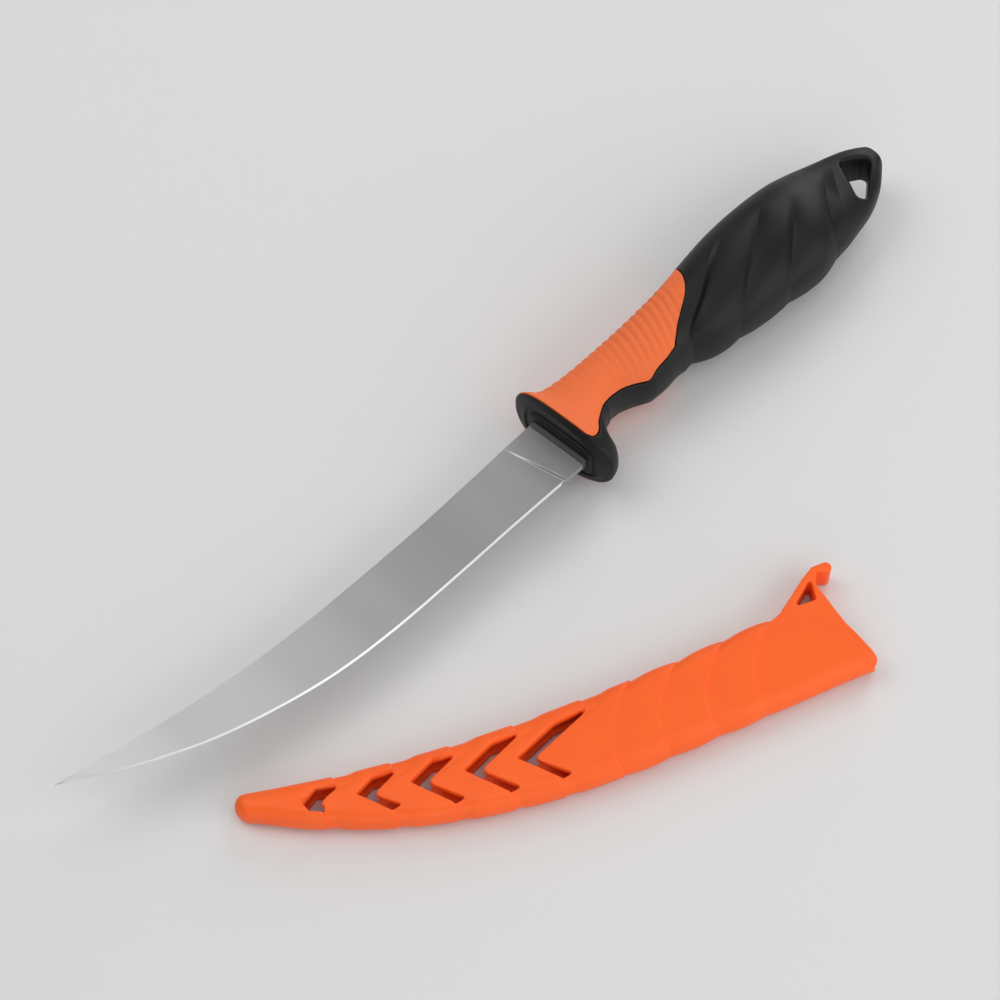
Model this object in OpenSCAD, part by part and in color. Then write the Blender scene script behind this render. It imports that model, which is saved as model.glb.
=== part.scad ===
/* [Blade] */
// Length of the blade from its heel to its point
blade_l = 166; // [130:1:200]
// Height of the blade at its heel
blade_h = 19.4; // [15:0.2:22]
// Thickness of the blade along its spine
blade_t = 2; // [1.4:0.1:2.6]
// Thickness of the blade just above its cutting bevel
bevel_t = 0.6; // [0.3:0.05:1]
// Thickness left along the cutting edge
edge_t = 0.12; // [0.05:0.01:0.2]
// Height of the cutting bevel
bevel_h = 0.6; // [0.4:0.1:2]
// Length of the full-thickness stretch ahead of the handle
ricasso_l = 8.1; // [5:0.1:12]
// Radius of the small notch where the cutting edge starts
choil_r = 0.8; // [0.4:0.1:1.5]
// Length of the tang inside the handle
tang_l = 84; // [60:1:90]
// Height of the tang
tang_h = 6.4; // [5:0.2:7]
// Diameter of the holes that lock the tang
tang_hole_d = 3.6; // [2.5:0.1:4]
// Number of holes along the tang
tang_holes = 3; // [1:1:4]

/* [Handle] */
// Length of the handle from the blade's heel to the butt
handle_l = 138; // [120:1:156]
// Height of the handle where it is fullest
handle_h = 31.5; // [28:0.5:36]
// Width of the handle across its two sides
handle_w = 25.2; // [21:0.2:30]
// Roundness of the handle's cross-section, where 2 is an ellipse
roundness = 2.35; // [2:0.05:3]
// Lean of the guard towards the point along its upper side, in degrees
guard_lean = 4.5; // [0:0.5:8]
// Depth of the valleys between the flutes
flute_deep = 1.7; // [0.4:0.1:2]
// Thickness of the orange grip
grip_t = 2.2; // [1.4:0.1:2.6]
// Width of the seam round the orange grip
seam_w = 0.3; // [0.2:0.05:0.6]

/* [Core] */
// Length of the collar that shows between the blade and the guard
collar_l = 1.3; // [0.8:0.1:2]
// Thickness of the collar
collar_t = 4.4; // [3.4:0.1:5]
// Thickness of the boss on the guard's front face round the collar
boss_t = 11; // [8:0.2:13]
// Thickness of the core inside the handle
core_t = 7; // [5:0.2:9]
// Height of the core inside the handle
core_h = 8.8; // [8:0.2:9.4]
// Length of the core inside the handle
core_l = 106; // [96:1:110]
// Number of key notches along each edge of the core
core_keys = 5; // [4:1:7]
// Clearance between the moulded pieces inside the handle
mould_gap = 0.03; // [0.01:0.01:0.06]
// Clearance under the orange grip
pocket_gap = 0.12; // [0.05:0.01:0.2]

/* [Lanyard hole] */
// Length of the lanyard hole along the handle
lanyard_l = 12; // [8:0.2:13]
// Width of the lanyard hole across the handle
lanyard_w = 13; // [8:0.2:14]
// Radius of the lanyard hole's corners
lanyard_r = 2; // [1:0.1:2.6]

/* [Sheath] */
// Room in the slot ahead of the blade's point and its wall
tip_room = 6; // [5:0.5:12]
// Wall of the sheath along its two edges
edge_wall = 1.6; // [1.2:0.1:2.4]
// Room in the slot above and below the blade, taken together
slot_play = 2.3; // [2:0.1:4]
// Thickness of the sheath
sheath_t = 8.8; // [7.6:0.1:11]
// Thickness of the slot for the blade
slot_t = 4.6; // [4.2:0.1:5.6]
// Radius of the sheath's two long edges
edge_r = 4; // [1.5:0.1:4.2]
// Height that each scale swells to over its face
scale_step = 0.8; // [0.3:0.1:1.4]
// Height that each scale swells to along the two long edges
edge_step = 0.4; // [0.2:0.05:0.8]
// Lean of the mouth, in degrees
mouth_lean = 15; // [6:1:18]
// Distance from one window or scale to the next
window_pitch = 14.4; // [12:0.1:16]
// Width of the windows' arms
window_w = 2.9; // [2:0.1:3.6]
// Thickness of the hook's arm
hook_t = 1.8; // [1.2:0.1:2.4]
// Radius of the hook's nose
nose_r = 1.6; // [1:0.05:2.4]

/* [Layout] */
// Angle between the knife and the sheath as they lie, in degrees
lie_turn = 26.3; // [20:0.1:40]
// Distance that the blade's point lies past the sheath's point
point_ahead = 43.5; // [20:0.2:60]
// Distance that the blade's point lies beside the sheath's point
point_beside = 17; // [12:0.2:40]

/* [Hidden] */

// Overrun of every cut
over = 1;
// Least half height or half width of a closing ring, and least square of its size
least = 0.05;
least_share = 0.0001;

// Blade's spine and edge: distance from the heel as a share of its length,
// height as a share of its height at the heel
blade_spine_shares = [[0, 0.51], [0.13, 0.465], [0.27, 0.425], [0.41, 0.422], [0.54, 0.445],
    [0.66, 0.52], [0.78, 0.655], [0.885, 0.82], [0.96, 0.96], [1, 1.04]];
blade_edge_shares = [[0, -0.495], [0.15, -0.495], [0.295, -0.51], [0.43, -0.505], [0.55, -0.43],
    [0.66, -0.25], [0.765, 0.01], [0.855, 0.335], [0.915, 0.595], [0.964, 0.865], [1, 1.03]];
blade_row_shares = [0.075, 0.11, 0.16, 0.22, 0.28, 0.34, 0.4, 0.46, 0.51, 0.56, 0.61, 0.66, 0.7,
    0.74, 0.78, 0.815, 0.85, 0.88, 0.905, 0.93, 0.95, 0.968, 0.982, 0.992, 1];
// Thinning of the spine and of the ground face from heel to point
spine_taper_share = 0.35;
bevel_taper_share = 0.3;
// Slant of the line where the grind starts, and the length over which it sinks in
plunge_slant_share = 0.28;
plunge_run_share = 0.25;
// Place of the choil along the full-thickness stretch, and how far it bites into the edge
choil_share = 0.84;
choil_rise_share = 0.33;

// Handle's upper line, lower line and half width: distance from the heel as a
// share of its length, height and half width as shares of its height and half width
spine_shares = [[0.013, 0.53], [0.017, 0.58], [0.0225, 0.59], [0.034, 0.553], [0.05, 0.5],
    [0.08, 0.457], [0.145, 0.435], [0.232, 0.438], [0.333, 0.454], [0.42, 0.492], [0.493, 0.546],
    [0.58, 0.597], [0.667, 0.61], [0.754, 0.59], [0.819, 0.54], [0.877, 0.463], [0.935, 0.381],
    [0.971, 0.305], [0.985, 0.262], [1, 0.215]];
belly_shares = [[0.013, -0.49], [0.017, -0.527], [0.0225, -0.537], [0.04, -0.51], [0.057, -0.43],
    [0.078, -0.305], [0.105, -0.19], [0.135, -0.108], [0.165, -0.095], [0.195, -0.135],
    [0.235, -0.213], [0.275, -0.222], [0.32, -0.2], [0.36, -0.225], [0.42, -0.305], [0.5, -0.35],
    [0.61, -0.394], [0.7, -0.42], [0.76, -0.38], [0.83, -0.324], [0.89, -0.263], [0.94, -0.165],
    [0.975, -0.05], [0.985, -0.012], [1, 0.03]];
width_shares = [[0.013, 0.86], [0.017, 0.96], [0.0225, 1], [0.036, 0.92], [0.056, 0.8],
    [0.095, 0.755], [0.16, 0.77], [0.232, 0.85], [0.326, 0.92], [0.435, 0.975], [0.55, 1],
    [0.68, 1], [0.754, 0.92], [0.804, 0.76], [0.84, 0.62], [0.884, 0.55], [0.95, 0.5],
    [0.98, 0.42], [1, 0.38]];
// Last stretch over which the butt closes round
butt_round_share = 0.015;
// Roundness of the section out towards the handle's two faces, as a share of its roundness
flatness_shares = [[0, 1], [0.8, 1], [0.9, 1.35], [1, 1.35]];
// Slant and bow of the lines that the flutes and the grip's rear edge follow
guard_half_share = 0.57;
lean_share = tan(guard_lean) * guard_half_share * handle_h / handle_l;
slant_shares = [[0, -lean_share], [0.058, -lean_share], [0.16, 0.036], [0.29, 0.094],
    [0.393, 0.123], [0.455, 0.17], [0.604, 0.152], [0.72, 0.116], [0.828, 0.078], [0.913, 0.036],
    [1, 0]];
bow_shares = [[0, 0.009], [0.05, 0.009], [0.16, 0], [0.29, 0], [0.393, -0.029], [0.455, 0.07],
    [0.604, 0.014], [0.72, 0], [1, 0]];
// Share by which a line's rings still follow the guard's lean
guard_hold_shares = [[0, 1], [0.058, 1], [0.16, 0], [1, 0]];
// The four valleys between the flutes, the lengths over which the first starts and
// the last ends, and how sharp they are
valley_shares = [0.455, 0.604, 0.72, 0.828];
valley_lead_share = 0.012;
valley_tail_share = 0.03;
valley_power = 2.6;
// Height where each valley has faded out towards the spine, how fast it fades, and what
// is lost at the belly
valley_fade_shares = [[0.455, 0.57], [0.604, 0.5], [0.72, 0.26], [0.828, 0.48]];
fade_power = 3;
valley_loss_share = 0.75;
guard_row_shares = [0.013, 0.0145, 0.017, 0.02, 0.0235, 0.028, 0.034, 0.041, 0.05];
front_start_share = 0.06;
front_rows = 20;
flute_row_shares = [0, 0.05, 0.14, 0.27, 0.45, 0.63, 0.79, 0.91];
butt_row_shares = [0.828, 0.834, 0.843, 0.86, 0.885, 0.912, 0.935, 0.953, 0.967, 0.979, 0.985,
    0.989, 0.993, 0.996, 0.9985, 0.9998];
ring_steps = 36;
// The grip's ends, and how far round the handle it reaches from the spine, as a share
// of a half turn
grip_front_share = 0.0215;
grip_rear_share = 0.39;
grip_reach_shares = [[0.0215, 0.636], [0.0267, 0.664], [0.044, 0.67], [0.0645, 0.681], [0.075, 0.7],
    [0.09, 0.726], [0.105, 0.747], [0.137, 0.768], [0.157, 0.777], [0.177, 0.792], [0.2, 0.805],
    [0.24, 0.812], [0.272, 0.823], [0.305, 0.837], [0.32, 0.838], [0.326, 0.818], [0.334, 0.783],
    [0.355, 0.769], [0.376, 0.763], [0.39, 0.75]];
// How far the grip's rear edge moves along the handle at each share of a half turn, and
// where behind it that movement ends
rear_move_shares = [[0, -0.018], [0.222, -0.014], [0.367, -0.005], [0.444, -0.002], [0.511, -0.002],
    [0.589, 0.006], [0.667, 0.018], [0.75, 0.025], [1, 0.025]];
move_end_share = 0.44;
grip_rows = 34;
grip_steps = 24;
half_turn = 180;

// Sheath's upper and lower edge: distance from its point as a share of its
// length, height as a share of its width
upper_shares = [[0, 0.077], [0.022, 0.072], [0.07, 0.029], [0.13, -0.016], [0.2, -0.05],
    [0.29, -0.075], [0.38, -0.074], [0.47, -0.049], [0.55, -0.01], [0.64, 0.043], [0.73, 0.11],
    [0.815, 0.19], [0.9, 0.257], [1, 0.275]];
lower_shares = [[0, -0.155], [0.025, -0.215], [0.09, -0.431], [0.14, -0.557], [0.21, -0.711],
    [0.27, -0.809], [0.36, -0.91], [0.47, -0.962], [0.55, -0.953], [0.65, -0.897], [0.75, -0.817],
    [0.84, -0.75], [0.93, -0.669], [1, -0.612]];
// Height of the sheath's face, and the first stretch over which its point closes round
front_shares = [[0, 0.87], [0.02, 0.93], [0.06, 0.98], [0.1, 1], [0.14, 1], [1, 1]];
nose_round_share = 0.0175;
// Most of the sheath's width or height that a rounded long edge may take
fillet_share = 0.47;
// Windows: how far each arm reaches past the apex, as shares of the pitch
first_apex_share = 0.0965;
apex_across_share = 0.53;
upper_reach_shares = [0.69, 0.77, 0.9, 1.14, 1.5];
lower_reach_shares = [0.33, 0.55, 0.65, 0.69, 0.66];
reach_power = 1.2;
// Each apex's height as a share of the sheath's width, and the windows' other
// corners from it as shares of the pitch: upper bend, upper end, lower end's two corners,
// and the three corners of the blunt tongue between the arms
apex_shares = [-0.27, -0.34, -0.386, -0.438, -0.482];
bend_shares = [[0.31, 0.23], [0.35, 0.23], [0.49, 0.29], [0.63, 0.36], [0.85, 0.45]];
top_shares = [[0.69, 0.17], [0.77, 0.23], [0.88, 0.27], [1.13, 0.4], [1.46, 0.54]];
low_left_shares = [[0.12, -0.14], [0.534, -0.466], [0.674, -0.626], [0.694, -0.646], [0.674, -0.606]];
low_right_shares = [[0.34, -0.23], [0.668, -0.433], [0.808, -0.593], [0.828, -0.613], [0.808, -0.573]];
tongue_shares = [[0.394, -0.028], [0.353, -0.1], [0.383, -0.184]];
window_round_share = 0.17;
// Scales on the mouth's side of the windows
plain_scales = 4;
first_scale_share = 0.577;
scale_pitch_share = 0.97;
scale_bow_shares = [[0, 0.055], [0.15, 0], [0.3, 0.028], [0.47, 0.11], [0.64, 0.26], [0.79, 0.43],
    [1, 0.8]];
// Swell along a windowed scale and how much later it starts across the sheath, swell
// along a plain scale and along the mouth's, and the swell that the edges start below
window_swell_shares = [[0, 0], [0.15, 0], [0.2, 0.16], [0.25, 0.5], [0.3, 0.84], [0.35, 1], [1, 1]];
swell_lean_shares = [0.11, 0.11, 0.11, 0.11, 0.22];
plain_swell_shares = [[0, 0], [0.1, 0.45], [0.2, 0.8], [0.32, 1.3], [0.5, 1.6], [0.7, 1.45],
    [0.85, 1], [1, 0.35]];
mouth_swell_shares = [[0, 0.1], [0.15, 0.9], [0.4, 1.2], [1, 1.4]];
swell_back_share = 0.1;
// Line of the mouth from the sheath's end, and the radius of its lower corner
mouth_shares = [[0, 0.6], [0.07, 0.54], [0.187, 0.43], [0.415, 0.168], [0.595, -0.069],
    [0.716, -0.18], [1, -0.43]];
mouth_corner_share = 0.07;
// Hook: where its arm starts and bends, where its web meets the mouth, and the hole
hook_base_shares = [0.866, 0.1];
hook_knee_shares = [0.906, 0.222];
hook_elbow_shares = [0.962, 0.545];
hook_shoulder_shares = [0.984, 0.648];
hook_nose_shares = [1.003, 0.632];
hook_throat_shares = [0.9715, 0.486];
hook_rim_shares = [0.9872, 0.018];
hook_sill_shares = [0.87, -0.08];
hook_hole_shares = [[0.9675, 0.49], [0.9395, 0.311], [0.964, 0.317]];
hook_hole_round_share = 0.7;
// Steps of the outer surface along one scale and round the section
scale_row_shares = [0.02, 0.2, 0.26, 0.32, 0.39, 0.5, 0.75, 0.9, 1];
point_row_shares = [0.001, 0.008, 0.025, 0.06, 0.1, 0.15, 0.26, 0.45, 0.7, 1];
face_steps = 8;
back_steps = 4;
fillet_steps = 4;
slot_row_shares = [0.028, 0.05, 0.09, 0.15, 0.22, 0.3, 0.38, 0.46, 0.54, 0.62, 0.7, 0.78, 0.86,
    0.93, 1, 1.12];
// Widening of the slot past the mouth, and where it starts to lean and to widen
slot_flare_share = 0.11;
slot_lean_from = 0.9;
slot_flare_from = 0.99;

slot_h = blade_h + slot_play;
sheath_w = slot_h + 2 * edge_wall;
sheath_l = blade_l + tip_room;
back_share = 0.9;
back_r = back_share * edge_r;
edge_share = edge_r / sheath_w;
// Middle of the tang over the heel's line, and room past its last hole as a share of
// the holes' distance
tang_mid_share = 0.187;
tang_rest_share = 0.5;
tang_mid = tang_mid_share * handle_h;
half_w = handle_w / 2;
seam_turn = seam_w / half_w * half_turn / PI;
// Core's plate at the guard as a share of the collar's length, and its key notches as a
// share of its height
plate_share = 3;
key_share = 0.085;
collar_h = blade_h * (blade_spine_shares[0][1] - blade_edge_shares[0][1]);
collar_y = blade_h * (blade_spine_shares[0][1] + blade_edge_shares[0][1]) / 2;
// Boss's length, its bevel and its rim round the collar, as shares of the collar's length
boss_deep_share = 2;
boss_bevel_share = 0.35;
boss_rim_share = 1.25;
// Middle of the lanyard hole's front side, and its upper corner and nose as shares of its
// length and width
lanyard_shares = [0.887, 0.025];
lanyard_corner_share = 0.33;
lanyard_nose_share = 0.14;
lanyard_at = lanyard_shares[0] * handle_l;
lanyard_mid = lanyard_shares[1] * handle_h;

// Middle of the floor that the knife and the sheath cover together
tip_share = 1.035;
belly_share = 0.99;
tip_y = tip_share * blade_h;
heel_at = [blade_l * cos(lie_turn) + tip_y * sin(lie_turn) - point_ahead,
    blade_l * sin(lie_turn) - tip_y * cos(lie_turn) + point_beside];
butt_shares = [0.99, 0.955, 0.345];
far_at = heel_at + [handle_l * butt_shares[0] * cos(lie_turn),
    handle_l * butt_shares[1] * sin(lie_turn) + handle_h * butt_shares[2] * cos(lie_turn)];
middle_at = ([-point_ahead, -belly_share * sheath_w] + far_at) / 2;

// Smooth curve through a table of places and values
function place_in(t, x, i = 0) = i >= len(t) - 2 || x < t[i + 1][0] ? i : place_in(t, x, i + 1);
function steepness(t, i) = let (a = max(i - 1, 0), b = min(i + 1, len(t) - 1))
    (t[b][1] - t[a][1]) / (t[b][0] - t[a][0]);
function curve(t, x) = let (
    i = place_in(t, x),
    run = t[i + 1][0] - t[i][0],
    s = min(max((x - t[i][0]) / run, 0), 1),
    m = steepness(t, i) * run,
    n = steepness(t, i + 1) * run
) t[i][1] * (1 + 2 * s) * (1 - s) ^ 2 + m * s * (1 - s) ^ 2 + t[i + 1][1] * s * s * (3 - 2 * s)
    - n * s * s * (1 - s);
function blend(a, b, s) = a + (b - a) * s;
function root(v, e) = sign(v) * abs(v) ^ e;
function middle_of(ring) = [for (p = ring) 1] * ring / len(ring);
// Size of a rounded end at a distance into it, from 0 at its tip to 1
function closing(in, run) = in >= run ? 1 : sqrt(max(1 - (1 - in / run) ^ 2, least_share));

// Solid through a row of rings, closed at both ends by fans round their middles
module loft(rings) {
    n = len(rings[0]);
    m = len(rings);
    points = concat([for (r = rings, p = r) p], [middle_of(rings[0]), middle_of(rings[m - 1])]);
    faces = concat(
        [for (i = [0:m - 2], j = [0:n - 1], k = [0:1]) let (
            a = i * n + j, b = i * n + (j + 1) % n, c = b + n, d = a + n
        ) k == 0 ? [a, b, c] : [a, c, d]],
        [for (j = [0:n - 1]) [(j + 1) % n, j, m * n]],
        [for (j = [0:n - 1]) [(m - 1) * n + j, (m - 1) * n + (j + 1) % n, m * n + 1]]
    );
    polyhedron(points, faces);
}

// Curved sheet with a wall: rows of outer points over rows of inner points
module wall_between(outer, inner) {
    n = len(outer[0]);
    m = len(outer);
    h = n * m;
    points = concat([for (r = outer, p = r) p], [for (r = inner, p = r) p]);
    faces = concat(
        [for (i = [0:m - 2], j = [0:n - 2], k = [0:1]) let (
            a = i * n + j, b = a + 1, c = b + n, d = a + n
        ) k == 0 ? [a, b, c] : [a, c, d]],
        [for (i = [0:m - 2], j = [0:n - 2], k = [0:1]) let (
            a = h + i * n + j, b = a + 1, c = b + n, d = a + n
        ) k == 0 ? [a, c, b] : [a, d, c]],
        [for (i = [0:m - 2], k = [0:1]) let (a = i * n, b = a + n)
            k == 0 ? [a, b, h + b] : [a, h + b, h + a]],
        [for (i = [0:m - 2], k = [0:1]) let (a = i * n + n - 1, b = a + n)
            k == 0 ? [a, h + b, b] : [a, h + a, h + b]],
        [for (j = [0:n - 2], k = [0:1]) let (a = j, b = j + 1)
            k == 0 ? [a, h + b, b] : [a, h + a, h + b]],
        [for (j = [0:n - 2], k = [0:1]) let (a = (m - 1) * n + j, b = a + 1)
            k == 0 ? [a, b, h + b] : [a, h + b, h + a]]
    );
    polyhedron(points, faces);
}

// Puts what is drawn along the knife's own length where the knife lies
module laid_knife() {
    translate([heel_at.x - middle_at.x, heel_at.y - middle_at.y, half_w])
        rotate([0, 0, lie_turn])
            children();
}

// Puts what is drawn along the sheath's own length where the sheath lies
module laid_sheath() {
    translate([-middle_at.x, -middle_at.y, 0])
        children();
}

function heel_slide(y) = -tan(guard_lean) * y;
function spine_y(s) = blade_h * curve(blade_spine_shares, s);
function edge_y(s) = blade_h * curve(blade_edge_shares, s);

// One ring of the blade: spine, ground face, cutting bevel
function blade_ring(x, slant, ground) = let (
    s = x / blade_l,
    top = spine_y(s),
    low = edge_y(s),
    bevel = min(bevel_h, (top - low) / 2),
    spine = blade_t * (1 - spine_taper_share * s) / 2,
    face = blend(blade_t, bevel_t * (1 - bevel_taper_share * s), ground) / 2,
    edge = blend(blade_t, edge_t, ground) / 2,
    place = function (y, z) [-x - slant * y, y, z]
) [place(top, -spine), place(top, spine), place(low + bevel, face), place(low, edge),
    place(low, -edge), place(low + bevel, -face)];

module tang_outline(grow) {
    difference() {
        union() {
            translate([-heel_slide(tang_mid) - ricasso_l / 2, tang_mid - tang_h / 2 - grow])
                square([tang_l + ricasso_l / 2 - tang_h / 2, tang_h + 2 * grow]);
            translate([tang_l - tang_h / 2, tang_mid])
                circle(d = tang_h + 2 * grow, $fn = 48);
        }
        for (i = [1:tang_holes])
            translate([i * tang_l / (tang_holes + tang_rest_share), tang_mid])
                circle(d = tang_hole_d - 2 * grow, $fn = 40);
    }
}

module blade() {
    color("silver")
        laid_knife() {
            difference() {
                loft(concat(
                    [blade_ring(0, tan(guard_lean), 0), blade_ring(ricasso_l, plunge_slant_share, 0),
                        blade_ring(ricasso_l * (1 + plunge_run_share), plunge_slant_share, 1)],
                    [for (s = blade_row_shares) blade_ring(s * blade_l, 0, 1)]
                ));
                translate([-choil_share * ricasso_l, edge_y(0) - choil_rise_share * choil_r, -blade_t])
                    cylinder(h = 2 * blade_t, r = choil_r, $fn = 32);
            }
            linear_extrude(height = blade_t, center = true)
                tang_outline(0);
        }
}

module core_form(grow) {
    plate_l = plate_share * collar_l;
    difference() {
        union() {
            rotate([0, 0, guard_lean])
                translate([-grow, collar_y - collar_h / 2 - grow, -collar_t / 2 - grow])
                    cube([plate_l + 2 * grow, collar_h + 2 * grow, collar_t + 2 * grow]);
            translate([plate_l / 2, tang_mid - core_h / 2 - grow, -core_t / 2 - grow])
                cube([core_l - (plate_l + core_h) / 2, core_h + 2 * grow, core_t + 2 * grow]);
            translate([core_l - core_h / 2, tang_mid, -core_t / 2 - grow])
                cylinder(h = core_t + 2 * grow, d = core_h + 2 * grow, $fn = 48);
        }
        for (i = [1:core_keys], edge = [-1, 1])
            translate([i * core_l / (core_keys + 1), tang_mid + edge * core_h / 2, -core_t])
                cylinder(h = 2 * core_t, r = key_share * core_h - grow, $fn = 24);
    }
}

module core() {
    color("#5f5a57")
        laid_knife()
            difference() {
                core_form(0);
                linear_extrude(height = blade_t + 2 * mould_gap, center = true)
                    tang_outline(mould_gap);
            }
}

// How deep the valleys cut at a line's place, from 0 to 1
function valley_at(s) = s < valley_shares[0]
    ? max(0, 1 - (valley_shares[0] - s) / valley_lead_share)
    : s >= valley_shares[3]
        ? max(0, 1 - (s - valley_shares[3]) / valley_tail_share)
        : let (i = place_in([for (v = valley_shares) [v]], s),
            f = (s - valley_shares[i]) / (valley_shares[i + 1] - valley_shares[i]))
            abs(2 * f - 1) ^ valley_power;
function spread_at(s, t) = max(0, 1 - ((1 + t) / (1 + lookup(s, valley_fade_shares))) ^ fade_power)
    * (1 - valley_loss_share * min(t, 0) ^ 4);

// How much of the rear edge's movement a line takes: more and more along the grip, then
// less again behind it
function move_at(s) = s <= grip_rear_share
    ? (max(s - grip_front_share, 0) / (grip_rear_share - grip_front_share)) ^ 3
    : let (f = min((s - grip_rear_share) / (move_end_share - grip_rear_share), 1))
        1 - f * f * (3 - 2 * f);

// A point of the handle's skin: line's place, turn from the spine, depth below the skin
function skin(line, turn, inset) = let (
    round = min(abs(turn), 2 * half_turn - abs(turn)) / half_turn,
    s = line + move_at(line) * lookup(round, rear_move_shares),
    t = root(cos(turn), 2 / roundness),
    slide = lookup(s, slant_shares) * t + lookup(s, bow_shares) * t * t,
    a = s + slide * (1 - lookup(s, guard_hold_shares)),
    end = closing(1 - a, butt_round_share),
    top = handle_h * curve(spine_shares, a),
    low = handle_h * curve(belly_shares, a),
    cut = inset + flute_deep * valley_at(s) * spread_at(s, t),
    tall = max(end * (top - low) / 2 - cut, least),
    wide = max(end * half_w * min(curve(width_shares, a), 1) - cut, least),
    out = root(sin(turn), 2 / roundness / lookup(a, flatness_shares))
) [handle_l * (s + slide), (top + low) / 2 + t * tall, -out * wide];

handle_rows = concat(
    guard_row_shares,
    [for (i = [0:front_rows - 1]) blend(front_start_share, valley_shares[0], i / front_rows)],
    [for (v = [0:2], f = flute_row_shares) blend(valley_shares[v], valley_shares[v + 1], f)],
    butt_row_shares
);

module handle_form() {
    loft([for (s = handle_rows) [for (j = [0:ring_steps - 1]) skin(s, j * 360 / ring_steps, 0)]]);
}

// The grip's saddle, from its outer skin to its underside, with room to spare all round
module saddle(rise, sink, room, turn) {
    span = function (s) half_turn * curve(grip_reach_shares,
        min(max(s, grip_front_share), grip_rear_share)) + turn;
    rows = [for (i = [0:grip_rows]) let (f = i / grip_rows)
        blend(grip_front_share - room, grip_rear_share + room, (f + f * f) / 2)];
    sheet = function (inset) [for (s = rows)
        [for (j = [-grip_steps / 2:grip_steps / 2]) skin(s, 2 * j * span(s) / grip_steps, inset)]];
    wall_between(sheet(-rise), sheet(sink));
}

// Rounded triangle with its base across the handle and its nose towards the butt
module lanyard_hole() {
    corners = [[0, lanyard_mid - lanyard_w / 2 + lanyard_r],
        [lanyard_corner_share * lanyard_l, lanyard_mid + lanyard_w / 2 - lanyard_r],
        [lanyard_l - 2 * lanyard_r, lanyard_mid + lanyard_nose_share * lanyard_w]];
    translate([lanyard_at, 0, 0])
        hull()
            for (c = corners)
                translate([c.x, c.y, 0])
                    cylinder(h = handle_w, r = lanyard_r, center = true, $fn = 32);
}

// Raised pad on the guard's front face, through which the collar shows
module boss() {
    boss_h = collar_h + 2 * boss_rim_share * collar_l;
    bevel = boss_bevel_share * collar_l;
    rotate([0, 0, guard_lean])
        translate([collar_l, collar_y, 0])
            hull()
                for (y = [-1, 1], z = [-1, 1], step = [0, bevel])
                    translate([step, y * (boss_h / 2 - collar_l), z * (boss_t / 2 - collar_l)])
                        rotate([0, 90, 0])
                            cylinder(h = boss_deep_share * collar_l, r = collar_l - bevel + step,
                                $fn = 16);
}

module overmould() {
    color("#222224")
        laid_knife()
            difference() {
                union() {
                    handle_form();
                    boss();
                }
                saddle(over, grip_t + pocket_gap, seam_w / handle_l, seam_turn);
                core_form(mould_gap);
                lanyard_hole();
            }
}

module grip() {
    color("#f4662c")
        laid_knife()
            saddle(0, grip_t, 0, 0);
}

function upper_v(s) = sheath_w * curve(upper_shares, s);
function lower_v(s) = sheath_w * curve(lower_shares, s);

// Line where one scale ends over the next, as a share of the sheath's length, by the
// share across the flat face and the share across the whole sheath: windows bend back
// from an apex, plain scales bow
windows = len(upper_reach_shares);
pitch_share = window_pitch / sheath_l;
function apex_share(k) = first_apex_share + k * pitch_share;
function scale_line(k, s, w) = k < 0
    ? 0
    : k < windows
        ? apex_share(k) + pitch_share * (s > apex_across_share
            ? upper_reach_shares[k] * ((s - apex_across_share) / (1 - apex_across_share)) ^ reach_power
            : lower_reach_shares[k] * (apex_across_share - s) / apex_across_share)
        : k < windows + plain_scales
            ? first_scale_share + pitch_share * (scale_pitch_share * (k - windows)
                + curve(scale_bow_shares, w))
            : 1 + tan(mouth_lean) * sheath_w * curve(mouth_shares, w) / sheath_l;

// How far a scale has swelled at a place along it and across, from 0 to 1
function swell(k, f, s) = k == 0
    ? 1
    : k <= windows
        ? lookup(f - swell_lean_shares[k - 1] * s, window_swell_shares)
        : k < windows + plain_scales
            ? curve(plain_swell_shares, f)
            : curve(mouth_swell_shares, f);

// A point of the sheath's skin: scale, place along it, place across,
// turn round the long edge, and height between back and front
function shell_point(k, f, s, side, up, round_r) = let (
    last = windows + plain_scales,
    corner = mouth_corner_share * sheath_w,
    in = max(1 - round_r * (1 - abs(side)) / corner, 0),
    turned = k < last || side >= 0 ? 0 : f * corner * (1 - sqrt(1 - in * in)) / sheath_l,
    w = blend(edge_share, 1 - edge_share, s) + edge_share * side,
    u = blend(scale_line(k - 1, s, w), scale_line(k, s, w), f) - turned,
    full = swell(k, f, s),
    end = closing(u, nose_round_share),
    rise = edge_step * (full - swell_back_share),
    wide = end * (upper_v(u) - lower_v(u) + 2 * rise),
    mid = (upper_v(u) + lower_v(u)) / 2,
    drop = up > 0 && k < last ? 1 - min(full, 1) : 1,
    roof = sheath_t * curve(front_shares, u) - scale_step * drop / 2,
    tall = end * roof,
    r = min(round_r, fillet_share * wide, fillet_share * tall),
    v = mid + blend(r - wide / 2, wide / 2 - r, s) + side * r
) [sheath_l * u, v, roof / 2 + (up > 0 ? tall / 2 - r * (1 - up) : r * (1 + up) - tall / 2)];

function shell_ring(k, f) = concat(
    [for (i = [0:fillet_steps]) let (a = 90 * i / fillet_steps)
        shell_point(k, f, 0, -cos(a), sin(a), edge_r)],
    [for (i = [1:face_steps - 1]) shell_point(k, f, i / face_steps, 0, 1, edge_r)],
    [for (i = [0:fillet_steps]) let (a = 90 * i / fillet_steps)
        shell_point(k, f, 1, sin(a), cos(a), edge_r)],
    [for (i = [0:fillet_steps / 2]) let (a = 180 * i / fillet_steps)
        shell_point(k, f, 1, cos(a), -sin(a), back_r)],
    [for (i = [1:back_steps - 1]) shell_point(k, f, 1 - i / back_steps, 0, -1, back_r)],
    [for (i = [0:fillet_steps / 2]) let (a = 180 * i / fillet_steps)
        shell_point(k, f, 0, -sin(a), -cos(a), back_r)]
);

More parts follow.
